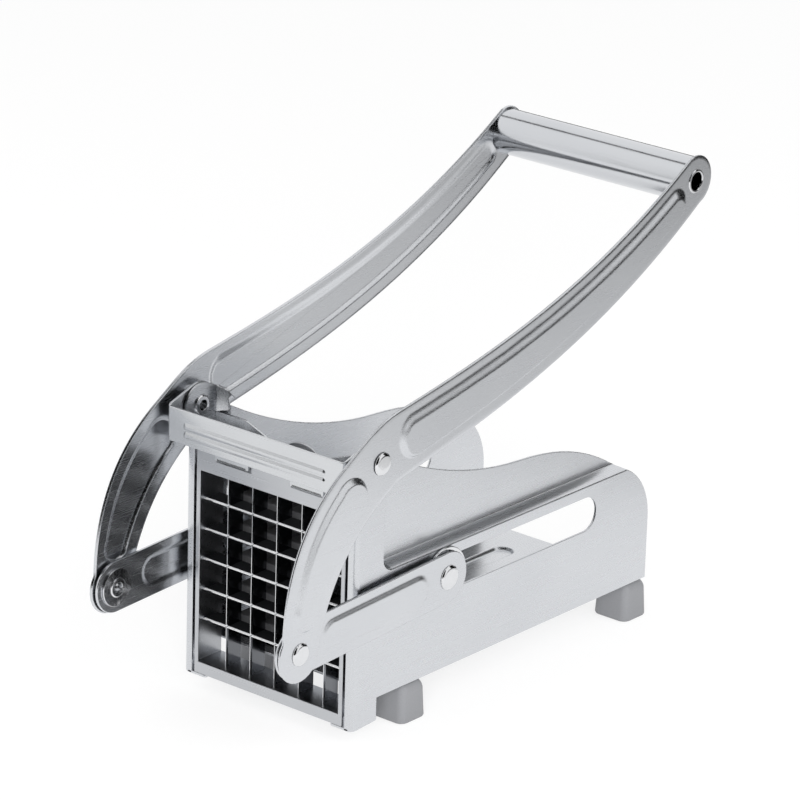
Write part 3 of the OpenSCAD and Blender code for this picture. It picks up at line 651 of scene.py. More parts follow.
body_out = high("right_side_plate").x
rear_y = high("right_side_plate").y
leg_z = low("right_side_plate").z
ear_r = high("right_side_plate").z - pivot.y
front_y = low("blade_cassette").y
body_z = high("floor_pan").z - BODY_SHEET
strip_rear = front_y + FRONT_STRIP
fold_z = slide.y + SLOT_R + FOLD_ABOVE_SLOT
fold_corner = Vector((strip_rear + FOLD_CORNER, fold_z + FOLD_CORNER))
ear_rear = pivot.x + EAR_BACK.x + EAR_BACK_R
print("side plate from", round(front_y, 2), "to", round(rear_y, 2), "fold at", round(fold_z, 2))


# %% Blank of a side plate
LIP_TOP = 98.0
RELIEF = 0.6
BEND_RUN = BEND_R * math.pi / 2
BEND_STEPS = 5
BEND_PAST = 0.1


def crest(share):
    return Vector((ear_rear + share[0] * (rear_y - ear_rear),
                   fold_z + share[1] * (pivot.y - fold_z)))


def side_blank():
    """Outline of a side plate, with the lip unfolded ahead of its front edge."""
    lip_u = front_y + 2 * BEND_R - BEND_RUN - LIP_W
    leg_rear = strip_rear - LEG_INSET
    rear_run = (1 - CREST_REAR[0][0]) * (rear_y - ear_rear)
    rear_turn = math.degrees(math.acos(1 - rear_run / REAR_ROUND))
    rear_centre = (rear_y - REAR_ROUND, fold_z - REAR_ROUND * math.sin(math.radians(rear_turn)))
    ear = belt((pivot, ear_r), (pivot + EAR_BACK, EAR_BACK_R))
    ear_low = pivot.y - math.sqrt(ear_r ** 2 - (pivot.x - front_y) ** 2)
    spread = [p for p in ear if p.y > ear_low + EAR_START and not (p.x > pivot.x and p.y < pivot.y)]
    spread.sort(key=lambda p: math.atan2(p.y - pivot.y, p.x - pivot.x) % (2 * math.pi))
    return ([(lip_u, leg_z), (leg_rear, leg_z + LEG_SLOPE), (leg_rear, body_z), (rear_y, body_z)]
            + arc(rear_centre, REAR_ROUND, 0, rear_turn)
            + curve(*[crest(share) for share in CREST_REAR])[:-1]
            + [crest(CREST_FRONT[0])] + curve(*[crest(share) for share in CREST_FRONT])
            + spread
            + [(front_y, ear_low), (front_y, LIP_TOP + RELIEF),
               (front_y + BEND_R, LIP_TOP + RELIEF), (front_y + BEND_R, LIP_TOP), (lip_u, LIP_TOP)])


def fold_depth(y, z):
    """How far a point lies inside the line where the upper panel starts, round its corner."""
    if y < fold_corner.x and z < fold_corner.y:
        return FOLD_CORNER - math.hypot(y - fold_corner.x, z - fold_corner.y)
    return min(y - strip_rear, z - fold_z)


def side_place(side):
    """The press: wraps the lip round its bend and steps the upper panel inwards."""
    def place(y, z, height):
        wrap = front_y + BEND_R - y
        if wrap > 0 and z <= LIP_TOP + RELIEF / 2:
            turn = min(wrap / BEND_R, math.pi / 2)
            x = body_out - BEND_R + BEND_R * math.cos(turn) - max(wrap - BEND_RUN, 0)
            return side * x, front_y + BEND_R - BEND_R * math.sin(turn), z
        return side * (body_out - RECESS * smooth_step(fold_depth(y, z) / FOLD_RUN)), y, z
    return place


def fold_line(inset):
    """The panel's edge at a distance inside the fold, from the rear to the top."""
    return ([(rear_y + OVERSHOOT, fold_z + inset)]
            + arc(fold_corner, FOLD_CORNER - inset, 270, 180)
            + [(strip_rear + inset, pivot.y + ear_r + OVERSHOOT)])


# %% [markdown]
# The blank is cut with the slot and the pivot hole, then pressed. The ledge
# under the cassette and the stay at the ear are small folds of the same sheet.
# They are cut as plates of their own and joined to the pressing.

# %% Side plates
LEDGE_W = 6.9
STAY_FOOT, STAY_HIGH, STAY_LOW = 12.6, 4.3, 9.3
STAY_TALL_SHARE = 0.48
CORNER_R = 1.2


def rounded(loop, radius):
    """A closed outline with its corners rounded, for small folded tabs."""
    points, loop = [], [Vector(p) for p in loop]
    for before, at, after in zip(loop[-1:] + loop[:-1], loop, loop[1:] + loop[:1]):
        into, out = (before - at).normalized(), (after - at).normalized()
        for share in (0, 0.25, 0.5, 0.75, 1):
            points.append(at + into * radius * (1 - share) ** 2 + out * radius * share ** 2)
    return points


def tab(name, loop, place, sheet, outward, corner):
    """A small folded tab with rounded corners."""
    return pressed(name, rounded(loop, corner), place, sheet, outward)


def side_plate(side, name, node):
    slot = belt((slide - Vector((SLOT_AHEAD, 0)), SLOT_R), (slide + Vector((SLOT_BEHIND, 0)), SLOT_R))
    bends = [front_y + BEND_R - BEND_RUN * i / BEND_STEPS for i in range(BEND_STEPS + 1)]
    lines = [([(y, leg_z - OVERSHOOT), (y, LIP_TOP + BEND_PAST)], 0, False) for y in bends]
    lines += [(fold_line(FOLD_RUN * i / BEND_STEPS), 0, False) for i in range(BEND_STEPS + 1)]
    sheet = pressed(name + "_sheet", side_blank(), side_place(side), BODY_SHEET, (side, 0, 0),
                    [slot, hole(pivot, RIVET_R)], lines)
    inner = body_out - BODY_SHEET
    ledge_in, ledge_rear = body_out - LIP_W - LEDGE_W, strip_rear - LEG_INSET - BODY_SHEET
    ledge = tab(name + "_ledge", rectangle(inner, ledge_in, front_y, ledge_rear),
                lambda x, y, height: (side * x, y, leg_z), BODY_SHEET, (0, 0, -1), CORNER_R)
    stay_in = x_ends(node)[0]
    tall_x = stay_in + STAY_TALL_SHARE * (inner - stay_in)
    foot, top, shoulder = (pivot.y - drop for drop in (STAY_FOOT, STAY_HIGH, STAY_LOW))
    outline = [(inner, foot), (inner, top), (tall_x, top), (stay_in, shoulder), (stay_in, foot)]
    stay = tab(name + "_stay", outline, lambda x, z, height: (side * x, strip_rear, z), BODY_SHEET,
               (0, 1, 0), CORNER_R)
    dress(join(name, [sheet, ledge, stay]), node)


side_plate(1, "right_side_pressing", "right_side_plate")
side_plate(-1, "left_side_pressing", "left_side_plate")

# %% [markdown]
# ## Floor
#
# The floor is one sheet between the side plates. Two long beads are pressed
# down into it, which keep a thin sheet from drumming. Its rear edge and the
# rivets of the feet show from behind.

# %% Floor
BEAD_X = 14.0
BEAD_R = 5.0
BEAD_DROP = 1.2
BEAD_SLOPE = 1.6
BEAD_FRONT_GAP, BEAD_REAR_GAP = 18.0, 20.0
FOOT_RIVET_HEAD_R = 3.2

floor_low, floor_high = low("floor_pan"), high("floor_pan")
rivet_places = []
for side in (1, -1):
    for node in ("foot_front_right", "foot_rear_right"):
        centre = (low(node) + high(node)) / 2
        rivet_places.append(Vector((side * centre.x, centre.y)))


def bead(side):
    ends = (floor_low.y + BEAD_FRONT_GAP, floor_high.y - BEAD_REAR_GAP)
    return lambda inset: belt(*[((side * BEAD_X, y), BEAD_R - inset) for y in ends])


floor_blank = rectangle(floor_low.x, floor_high.x, floor_low.y, floor_high.y)
floor = pressed("floor_pressing", floor_blank, lambda x, y, height: (x, y, floor_high.z - height),
                BODY_SHEET, (0, 0, 1), [hole(p, FOOT_RIVET_HEAD_R + FIT) for p in rivet_places],
                stamped(bead(1), BEAD_DROP, BEAD_SLOPE) + stamped(bead(-1), BEAD_DROP, BEAD_SLOPE))
dress(floor, "floor_pan")

# %% [markdown]
# ## Blade cassette and blades
#
# The cassette is a folded box with welded corners, so its edges are the
# sharpest on the cutter and only take a fine rounding. The blades are strips
# of harder steel, ground on both faces towards the cutting edge and notched
# halfway into each other. The ground bevel is what catches a line of light, so
# it is modelled: each strip's faces close on each other over the last
# millimetre. That line of light is also a painted highlight in the blade steel.

# %% Cassette
CASSETTE_ROUND = 0.3
soften("blade_cassette", "_folded", CASSETTE_ROUND)

# %% Ground and notched strips
GRIND = 0.9
CUTTING_EDGE = 0.12
CELLS = 6
CELL_PITCH = 12.0
BLADE_SHEET = 0.6

grid_low = high("horizontal_blades").z - BLADE_SHEET / 2 - CELL_PITCH * (CELLS - 1)
heights = [grid_low + CELL_PITCH * i for i in range(1, CELLS)]
offsets = [CELL_PITCH * (i - CELLS / 2) for i in range(1, CELLS)]


def strip(name, start, end, depth, notches, from_front, place):
    """A strip blade from start to end, its cutting edge at depth 0, notched halfway."""
    notch_half = BLADE_SHEET / 2 + FIT
    mouth, bottom = (0, depth / 2) if from_front else (depth, depth / 2)
    cuts = [[(n - notch_half, mouth), (n - notch_half, bottom),
             (n + notch_half, bottom), (n + notch_half, mouth)] for n in notches]
    notched = [p for cut in cuts for p in cut]
    blank = [(start, 0), *(notched if from_front else []), (end, 0), (end, depth),
             *([] if from_front else notched[::-1]), (start, depth)]
    grind = ([(start - OVERSHOOT, GRIND), (end + OVERSHOOT, GRIND)], 0, False)
    found, _, faces = cut_blank(blank, [], [grind])
    count = len(found)
    points = []
    for face in (1, -1):
        for p in found:
            half = CUTTING_EDGE + (BLADE_SHEET / 2 - CUTTING_EDGE) * min(p.y / GRIND, 1)
            points.append(place(p.x, p.y, face * half))
    sides = dict.fromkeys((a, b) for face in faces for a, b in zip(face, face[1:] + face[:1]))
    rim = [(a, b) for a, b in sides if (b, a) not in sides]
    both = [list(f) for f in faces] + [[i + count for i in reversed(f)] for f in faces]
    both += [[b, a, a + count, b + count] for a, b in rim]
    piece = make(name, points, both)
    tidy(piece)
    return piece


def blades(name, node, upright):
    """All the strips of one direction, shaded flat so that every ground face shows."""
    first, last = low(node), high(node)
    reach = (first.z, last.z) if upright else (first.x, last.x)
    rows, notches = (offsets, heights) if upright else (heights, offsets)
    made = []
    for row in rows:
        def place(along, back, off, row=row):
            across = row + off
            return (across, first.y + back, along) if upright else (along, first.y + back, across)
        made.append(strip(name + "_strip", *reach, last.y - first.y, notches, not upright, place))
    whole = join(name, made)
    whole.data.polygons.foreach_set("use_smooth", [False] * len(whole.data.polygons))
    dress(whole, node)


blades("vertical_blade_strips", "vertical_blades", True)
blades("horizontal_blade_strips", "horizontal_blades", False)

# %% [markdown]
# ## Feet
#
# Each foot is a block of polypropylene, drafted so that it leaves its mould,
# with full corner radii and a soft top edge. It is lofted from a stack of
# rounded rectangles, because one straight extrusion would lose the draft and
# the edge radii.

# %% Feet
FOOT_CORNER_R = 3.3
FOOT_CORNER_SHARE = 0.6
FOOT_CORNER_STEPS = 8
FOOT_NECK_IN, FOOT_NECK_R = 2.8, 1.0
FOOT_SECTIONS = [(0.0, 0.7), (0.25, 0.25), (0.8, 0.0), (11.8, 0.6), (12.8, 0.85), (13.7, 1.3),
                 (14.5, 1.9), (15.0, 2.5)]


def rounded_section(half_x, half_y, radius, z):
    points = []
    for x, y, start in ((1, 1, 0), (-1, 1, 90), (-1, -1, 180), (1, -1, 270)):
        centre = (x * (half_x - radius), y * (half_y - radius))
        points += [(p.x, p.y, z) for p in arc(centre, radius, start, start + 90, FOOT_CORNER_STEPS)]
    return points


def loft(name, sections, centre):
    points = [(x + centre[0], y + centre[1], z) for section in sections for x, y, z in section]
    count = len(sections[0])
    faces = [list(range(count))[::-1], [len(points) - count + i for i in range(count)]]
    for row in range(len(sections) - 1):
        for i in range(count):
            a, b = row * count + i, row * count + (i + 1) % count
            faces.append([a, b, b + count, a + count])
    return make(name, points, faces)


for node in ("foot_front_right", "foot_front_left", "foot_rear_right", "foot_rear_left"):
    foot_low, foot_high = low(node), high(node)
    half = (foot_high - foot_low) / 2
    sections = [rounded_section(half.x - inset, half.y - inset,
                                FOOT_CORNER_R - inset * FOOT_CORNER_SHARE, z)
                for z, inset in FOOT_SECTIONS]
    sections += [rounded_section(half.x - FOOT_NECK_IN, half.y - FOOT_NECK_IN, FOOT_NECK_R, z)
                 for z in (FOOT_SECTIONS[-1][0], foot_high.z)]
    foot = loft(node + "_moulded", sections, (foot_low + foot_high).xy / 2)
    tidy(foot)
    settle(foot)
    dress(foot, node)

# %% [markdown]
# ## Rivets and washers of the body
#
# The main pivots are semi-tubular rivets: a shallow domed head outside, a
# plain shank, and a drilled tail that is rolled over inside the ear. The foot
# rivets are countersunk flush, so that the pusher can pass over them.

# %% Rivets and washers of the body
HEAD_R = 4.4
HEAD_H = 1.1
TAIL_R = 3.8
TAIL_T = 1.0
TAIL_ROLL = 0.8
TAIL_HOLE_R = 2.0
RIVET_ROUND, SMALL_ROUND = 0.15, 0.1
HEAD_SHARES = [(0.0, 1.0), (0.12, 0.99), (0.34, 0.955), (0.58, 0.90), (0.78, 0.83), (0.90, 0.75),
               (0.96, 0.64), (0.99, 0.45), (1.0, 0.22), (1.0, 0.0)]


def dome(x, radius, height):
    """Profile of a rivet's head from its rim to its crown, seated at x: a shoulder at 45
    degrees that rolls over into a nearly flat crown."""
    return [(x + rise * height, share * radius) for rise, share in HEAD_SHARES]


def tubular_rivets(part, at, head, tail, thickness, roll, hole_end):
    """A pair of rivets with their heads seated at head, their tails rolled over at tail, and
    drilled up to hole_end."""
    profile = [(hole_end, 0), (hole_end, TAIL_HOLE_R), (tail, TAIL_HOLE_R), (tail, TAIL_R - roll),
               (tail + thickness / 2, TAIL_R), (tail + thickness, TAIL_R),
               (tail + thickness, RIVET_R), (head, RIVET_R)] + dome(head, HEAD_R, HEAD_H)
    turned_pair(part, profile, at, edge=RIVET_ROUND)


tubular_rivets("pivot_rivet", pivot, x_ends("right_pivot_rivet")[1] - HEAD_H,
               body_out - BODY_SHEET - TAIL_T, TAIL_T, TAIL_ROLL, low("right_arm").x)
for label, side in SIDES:
    node = label + "_pivot_washer"
    washer(node, pivot, half_height(node), RIVET_R + FIT, *x_ends(node), (side,))

FOOT_RIVET_R = 2.0
FOOT_RIVET_LEN = 8.0
rivets = []
top = floor_high.z
for place in rivet_places:
    profile = [(top, 0), (top, FOOT_RIVET_HEAD_R), (top - BODY_SHEET, FOOT_RIVET_R),
               (top - FOOT_RIVET_LEN, FOOT_RIVET_R), (top - FOOT_RIVET_LEN, 0)]
    rivet = turned("foot_rivet", profile, (0, 0), edge=SMALL_ROUND)
    rivet.data.transform(Matrix.Translation((place.x * MM, place.y * MM, 0))
                         @ Matrix.Rotation(-math.pi / 2, 4, "Y"))
    rivets.append(rivet)
dress(join("foot_rivets_turned", rivets), "foot_rivets")

# %% [markdown]
# ## Latch bar
#
# One strip is folded into a U: the front bar with two stamped ribs, and a
# cheek at each side that turns on the pivot rivet. A lip folds back from the
# bar's lower edge, and two tongues on it hook through the cassette's flange.
# The blank is drawn flat, with the cheeks to its left and right, and the rule
# wraps it round both bends. The ribs in the frame stand 0.9 mm out of the bar,
# so the bar's face lies that far behind the front of its box.

# %% Latch bar
LATCH_SHEET = 1.0
LATCH_BEND = 2.0
LATCH_EYE_R = 8.5
LATCH_BELLY_R = 8.6
LATCH_BELLY = Vector((-1.2, -5.7))
LATCH_DROP, LATCH_H = 9.8, 13.3
LATCH_BEND_REACH = 20.0
FRAME_RIB_H = 0.9
RIB_R, RIB_TOP_R = 1.6, 0.3
RIB_H = 0.45
RIB_HALF = 33.0
RIB_SHARES = (0.30, 0.54)
LATCH_RUN = LATCH_BEND * math.pi / 2
PASSING = 0.3

latch_out = high("latch_bar").x
latch_front = low("latch_bar").y + FRAME_RIB_H
latch_low = pivot.y - LATCH_DROP
latch_top = latch_low + LATCH_H
fold_u = latch_out - LATCH_BEND


def latch_place(u, z, height):
    """Wraps the strip round the two front corners; ribs stand out of the bar."""
    side = 1 if u >= 0 else -1
    wrap = abs(u) - fold_u
    if wrap <= 0:
        return u, latch_front - height, z
    turn = min(wrap / LATCH_BEND, math.pi / 2)
    x = fold_u + LATCH_BEND * math.sin(turn)
    y = latch_front + LATCH_BEND - LATCH_BEND * math.cos(turn) + max(wrap - LATCH_RUN, 0)
    return side * x, y, z


def latch_u(y):
    """Place on the blank of a point of the cheek at y."""
    return fold_u + LATCH_RUN + (y - latch_front - LATCH_BEND)


cheek = belt(((latch_front, latch_top), 0), (pivot, LATCH_EYE_R),
             (pivot + LATCH_BELLY, LATCH_BELLY_R), ((latch_front, latch_low), 0))
cheek.sort(key=lambda p: -math.atan2(p.y - pivot.y + LATCH_EYE_R / 2,
                                     p.x - latch_front - LATCH_BEND))
right_edge = [(latch_u(p.x), p.y) for p in cheek]
latch_blank = right_edge + [(-u, z) for u, z in reversed(right_edge)]
bends = [side * (fold_u + LATCH_RUN * i / BEND_STEPS)
         for side in (1, -1) for i in range(BEND_STEPS + 1)]
bends = [([(u, latch_low - LATCH_BEND_REACH), (u, latch_top + LATCH_BEND_REACH)], 0, False)
         for u in bends]
ribs = []
for share in RIB_SHARES:
    rib_z = latch_low + share * LATCH_H
    ribs += stamped(lambda inset, z=rib_z: belt(((-RIB_HALF, z), RIB_R - inset),
                                                ((RIB_HALF, z), RIB_R - inset)),
                    RIB_H, RIB_R - RIB_TOP_R)
eyes = [hole((side * latch_u(pivot.x), pivot.y), RIVET_R + FIT) for side in (1, -1)]
latch_sheet = pressed("latch_sheet", latch_blank, latch_place, LATCH_SHEET, (0, -1, 0), eyes,
                      bends + ribs)

# %% [markdown]
# The lip folds back from the bar's lower edge. Two tongues hang from it, and
# each ends in a short hook that reaches through the cassette's flange. The
# frame has their outlines, so each one is a small blank with rounded corners.

# %% Lip and tongues
LIP_HALF = 33.0
TONGUE_X = 18.2
TONGUE_W = 16.0
HOOK_H = 1.0
HOOK_SLOT_DROP = 1.2
HOOK_SLOT_H = 3.0
HOOK_CORNER = 1.0

hook_low = LIP_TOP - HOOK_SLOT_DROP - (HOOK_SLOT_H + HOOK_H) / 2
lip_rear = front_y - PASSING
lip = tab("latch_lip", rectangle(-LIP_HALF, LIP_HALF, latch_front + LATCH_SHEET / 2, lip_rear),
          lambda x, y, height: (x, y, latch_low), LATCH_SHEET, (0, 0, -1), LATCH_SHEET / 4)
tabs = [latch_sheet, lip]
for side in (1, -1):
    left, right = side * TONGUE_X - TONGUE_W / 2, side * TONGUE_X + TONGUE_W / 2
    tabs.append(tab("latch_tongue", rectangle(left, right, hook_low, latch_low + LATCH_SHEET),
                    lambda x, z, height: (x, lip_rear, z), LATCH_SHEET, (0, 1, 0), LATCH_SHEET / 4))
    tabs.append(tab("latch_hook", rectangle(left, right, lip_rear - LATCH_SHEET,
                                            front_y + BODY_SHEET + PASSING),
                    lambda x, y, height: (x, y, hook_low), LATCH_SHEET, (0, 0, -1), HOOK_CORNER))
dress(join("latch_bar_folded", tabs), "latch_bar")

# %% [markdown]
# ## Lever arms
#
# Each arm is one stamping, wide at the main pivot and slim at its ends. Two
# long panels are pressed outwards, one in each stretch, which turns a thin
# flat strip into a stiff lever. The arm's middle line bows along each stretch,
# and its width tapers from the pivot to the ends, so the outline is written as
# a middle line with a width to each side.

# %% Outline of an arm
PAD_H = 1.3
HIGH_SLOPE, HIGH_FOOT = 5.2, 3.1
LOW_SLOPE, LOW_FOOT = 3.7, 1.6
REAR_STEEPNESS = 0.3
CROWN_W, HEEL_W, GRIP_W = 16.0, 11.5, 10.2
PIVOT_W, LINK_W = 14.5, 11.0
HIGH_BOW, LOW_BOW = 9.0, 10.5
BELLY, SAG_SKEW = 1.5, 1.2
HIGH_PAD, LOW_PAD = (0.10, 0.93), (0.24, 0.82)
HIGH_CROWN, LOW_CROWN, CROWN_PULL = 0.08, 0.10, 0.40
HIGH_HEEL, LOW_HEEL = 0.03, 0.10
FRONT_RIM, REAR_RIM = 6.2, 5.8
EYELET_R = 3.9
ARM_STEPS, CAP_STEPS = 24, 14
NEARBY = 0.01

high_turn = math.degrees(math.atan2(grip.y - pivot.y, grip.x - pivot.x))
low_turn = math.degrees(math.atan2(pivot.x - link_pin.x, pivot.y - link_pin.y))
arm_in = low("right_arm").x
arm_out = arm_in + ARM_SHEET


def beside(a, b, share, off):
    """A point at a share of the way from a to b, moved to its left."""
    run = b - a
    return a + share * run + off * Vector((-run.y, run.x)) / run.length


def bow(share):
    return 4 * share * (1 - share)


def high_at(share, off):
    return beside(pivot, grip, share, off - HIGH_BOW * bow(share ** SAG_SKEW))


def low_at(share, off):
    return beside(pivot, link_pin, share, -off - LOW_BOW * bow(share))


def high_front(share):
    return GRIP_W + (CROWN_W - GRIP_W) * (1 - share) ** 2


def high_rear(share):
    return GRIP_W + (HEEL_W - GRIP_W) * (1 - share) ** 2 + BELLY * bow(share)


def low_width(share):
    return PIVOT_W + (LINK_W - PIVOT_W) * share ** 2


def steps(start, end):
    return [start + (end - start) * i / ARM_STEPS for i in range(ARM_STEPS + 1)]


def cap(centre, radius, start, end):
    """A round end without its first and last point."""
    return arc(centre, radius, start, end, CAP_STEPS)[1:-1]


def crown(inset):
    """The smooth run from the front edge of the lower stretch to that of the upper one."""
    start, before = (low_at(s, low_width(s) - inset) for s in (LOW_CROWN, LOW_CROWN + NEARBY))
    end, after = (high_at(s, high_front(s) - inset) for s in (HIGH_CROWN, HIGH_CROWN + NEARBY))
    pull = CROWN_PULL * (end - start).length
    return curve(start, start + pull * (start - before).normalized(),
                 end - pull * (after - end).normalized(), end)


def arm_blank(inset=0):
    return ([low_at(s, low_width(s) - inset) for s in steps(1, LOW_CROWN)] + crown(inset)
            + [high_at(s, high_front(s) - inset) for s in steps(HIGH_CROWN, 1)][1:]
            + cap(grip, GRIP_W - inset, high_turn + 90, high_turn - 90)
            + [high_at(s, inset - high_rear(s)) for s in steps(1, HIGH_HEEL)]
            + [low_at(s, inset - low_width(s)) for s in steps(LOW_HEEL, 1)]
            + cap(link_pin, LINK_W - inset, -low_turn, -low_turn - 180))


def panel(at, front_width, rear_width, ends, foot, turn, way):
    """The outline of a stamped panel, given how far it is drawn inside its largest one, which
    has its foot outside the rim. Its rear slope is steeper than its front one. The way is 1
    where the arm's front edge lies on the left of its middle line."""
    def loop(inset):
        front, rear = (rim + share * (inset - foot)
                       for rim, share in ((FRONT_RIM, 1), (REAR_RIM, REAR_STEEPNESS)))
        edges = [(s, front_width(s) - front, rear - rear_width(s)) for s in ends]
        (s0, f0, r0), (s1, f1, r1) = edges
        return ([at(s, front_width(s) - front) for s in steps(s0, s1)]
                + cap(at(s1, (f1 + r1) / 2), (f1 - r1) / 2, turn + 90 * way, turn - 90 * way)
                + [at(s, rear - rear_width(s)) for s in steps(s1, s0)]
                + cap(at(s0, (f0 + r0) / 2), (f0 - r0) / 2, turn - 90 * way, turn - 270 * way))
    return loop


# %% [markdown]
# The two panels are cut as contour lines, one inside the other, and each line
# is raised a little more than the last. That gives the press slope its soft
# roll at the top and the bottom. The punch that cuts a blank also drags its
# edge down a few tenths of a millimetre. That roll draws a fine dark line
# along every edge of the arm, so it gets contour lines of its own.

# %% Arms
EDGE_ROLL = [(0.5, -0.16), (1.1, -0.04), (1.9, 0.0)]
ROLL_DROP = 0.40

high_panel = panel(high_at, high_front, high_rear, HIGH_PAD, HIGH_FOOT, high_turn, 1)
low_panel = panel(low_at, low_width, low_width, LOW_PAD, LOW_FOOT, -90 - low_turn, -1)
lines = stamped(high_panel, PAD_H, HIGH_SLOPE) + stamped(low_panel, PAD_H, LOW_SLOPE)
lines += [(arm_blank(inset), height, True) for inset, height in EDGE_ROLL]
holes = [hole(pivot, RIVET_R + FIT), hole(link_pin, RIVET_R), hole(grip, EYELET_R)]
stamped_pair("arm", arm_blank(), arm_out, holes, lines, -ROLL_DROP)

# %% [markdown]
# ## Links
#
# A link is a flat bar with round ends and one long stamped panel. It stands
# between the arm's lower pin and the pusher's axle.

# %% Links
LINK_HALF = 10.0
LINK_PAD_W = 6.2
LINK_PAD_START, LINK_PAD_END = 14.0, 12.0
LINK_PAD_H = 0.7
LINK_PAD_SLOPE, LINK_PAD_FOOT = 2.8, 1.0
link_run = (slide - link_pin).normalized()
link_in = low("right_link").x
link_out = link_in + ARM_SHEET


def link_panel(inset):
    radius = LINK_PAD_W + LINK_PAD_FOOT - inset
    return belt((link_pin + link_run * (LINK_PAD_START + LINK_PAD_W), radius),
                (slide - link_run * (LINK_PAD_END + LINK_PAD_W), radius))


holes = [hole(link_pin, RIVET_R + FIT), hole(slide, RIVET_R)]
stamped_pair("link", belt((link_pin, LINK_HALF), (slide, LINK_HALF)), link_out, holes,
             stamped(link_panel, LINK_PAD_H, LINK_PAD_SLOPE))

# %% [markdown]
# ## Grip
#
# The grip is a plain polished tube between the arms. A plug closes each end,
# and a hollow eyelet goes through arm and plug and is rolled over outside, so
# its mouth shows as a bright ring round a hole.

# %% Grip tube, plugs and eyelets
GRIP_WALL = 1.0
PLUG_T = 3.0
EYELET_WALL = 0.5
EYELET_RIM_R = 4.7
EYELET_RIM_T = 0.5
EYELET_START = 0.2
EYELET_MOUTH = [(0.12, 0.25), (0.0, 0.6)]
EYELET_ROLL, EYELET_SEAT = (0.08, 0.25), 0.1

grip_r = half_height("grip_tube")
tube_in = high("grip_tube").x
plug_in = tube_in - PLUG_T
washer("grip_tube", grip, grip_r, grip_r - GRIP_WALL, -tube_in, tube_in, (1,))
washer("grip_end_plugs", grip, grip_r - GRIP_WALL, EYELET_R, plug_in, tube_in)
bore, rim = EYELET_R - EYELET_WALL, arm_out + EYELET_RIM_T
profile = [(plug_in, bore), (arm_out - EYELET_START, bore),
           *((rim - drop, bore + out) for drop, out in EYELET_MOUTH),
           (rim - EYELET_ROLL[0], EYELET_RIM_R - EYELET_ROLL[1]),
           (arm_out + EYELET_SEAT, EYELET_RIM_R), (arm_out, EYELET_RIM_R), (arm_out, EYELET_R),
           (plug_in, EYELET_R)]
turned_pair("grip_eyelet", profile, grip, True, SMALL_ROUND, "_rolled")

# %% [markdown]
# ## Pins of the linkage
#
# The pin at each arm's lower end is a rivet like the main pivots. It is fixed
# in the arm and turns in the link, with a spacer between them and a washer
# under its rolled tail. The link's rear eye has a rivet with a larger head.

# %% Link pins, spacers, washers and rear rivets
PIN_TAIL_T = 0.5
PIN_TAIL_ROLL = 0.6
LINK_WASHER_T = 0.75

tubular_rivets("link_pin", link_pin, arm_out, x_ends("right_link_pin")[0], PIN_TAIL_T,
               PIN_TAIL_ROLL, link_out)
large_head = dome(link_out, half_height("right_slide_rivet"), HEAD_H)
turned_pair("slide_rivet", [(link_in, 0), (link_in, RIVET_R), (link_out, RIVET_R)] + large_head,
            slide, edge=RIVET_ROUND)
washer("link_spacers", link_pin, half_height("link_spacers"), RIVET_R, link_out + FIT,
       high("link_spacers").x)
washer_out = high("link_washers").x
washer("link_washers", link_pin, half_height("link_washers"), RIVET_R, washer_out - LINK_WASHER_T,
       washer_out)

# %% [markdown]
# ## Pusher
#
# The black block carries one square peg for each cell of the grid. Block and
# pegs leave their mould with small radii, about a millimetre on the block and
# half of that on the pegs. Behind them a steel bracket holds the axle, whose
# two bushes slide in the slots. Four pan-head screws join the bracket to the
# block.

# %% Block, pegs and bracket
BLOCK_ROUND, PEG_ROUND, BRACKET_ROUND = 0.9, 0.5, 0.3
soften("pusher_block", "_moulded", BLOCK_ROUND)
soften("pusher_pegs", "_moulded", PEG_ROUND)
soften("pusher_bracket", "_folded", BRACKET_ROUND, 2)

# %% Axle, bushes and large washers
AXLE_CHAMFER = 0.5
COLLAR_T = 1.5
BUSH_PLAY = 0.1
LARGE_WASHER_ROUND = 0.3

axle_r = half_height("pusher_axle")
axle_x = high("pusher_axle").x
half_axle = [(axle_x - AXLE_CHAMFER, axle_r), (axle_x, axle_r - AXLE_CHAMFER), (axle_x, 0)]
profile = [(-x, radius) for x, radius in reversed(half_axle)] + half_axle
dress(turned("pusher_axle_turned", profile, slide), "pusher_axle")
washer_out = high("slide_washers").x
washer("slide_washers", slide, half_height("slide_washers"), axle_r, washer_out - BODY_SHEET,
       washer_out, edge=LARGE_WASHER_ROUND)
bush_r = SLOT_R - BUSH_PLAY
inner, outer = x_ends("right_slide_bush")
collar_r = half_height("right_slide_bush")
profile = [(inner, axle_r), (inner, collar_r), (inner + COLLAR_T, collar_r),
           (inner + COLLAR_T, bush_r), (outer, bush_r), (outer, axle_r)]
turned_pair("slide_bush", profile, slide, True)

# %% [markdown]
# A pan-head screw shows a cross recess. The recess is cut with a Boolean, the
# quickest way to sink a shape with flat walls into a turned head.

# %% Screws of the bracket
SCREW_R = 1.6
SCREW_HEAD_R = 3.4
SCREW_HEAD_H = 1.6
CROSS_W, CROSS_L, CROSS_DEPTH = 0.8, 3.6, 0.9
BLOCK_FACES = [(0, 1, 2, 3), (7, 6, 5, 4), (0, 4, 5, 1), (1, 5, 6, 2), (2, 6, 7, 3), (3, 7, 4, 0)]

screw_low, screw_high = low("pusher_screws"), high("pusher_screws")
screw_x = screw_high.x - SCREW_HEAD_R
screw_length = screw_high.y - screw_low.y
under = screw_length - SCREW_HEAD_H


def sink_slot(screw, half_y, half_z):
    """Cuts one slot of the cross into the head of a screw that lies along X."""
    corners = [(x, y, z) for x in (screw_length - CROSS_DEPTH, screw_length + CROSS_DEPTH)
               for y, z in rectangle(-half_y, half_y, -half_z, half_z)]
    cutter = make("cross_cutter", corners, BLOCK_FACES)
    tidy(cutter)
    cut = screw.modifiers.new("cross", "BOOLEAN")
    cut.object = cutter
    cut.solver = "EXACT"
    settle(screw)
    bpy.data.objects.remove(cutter)


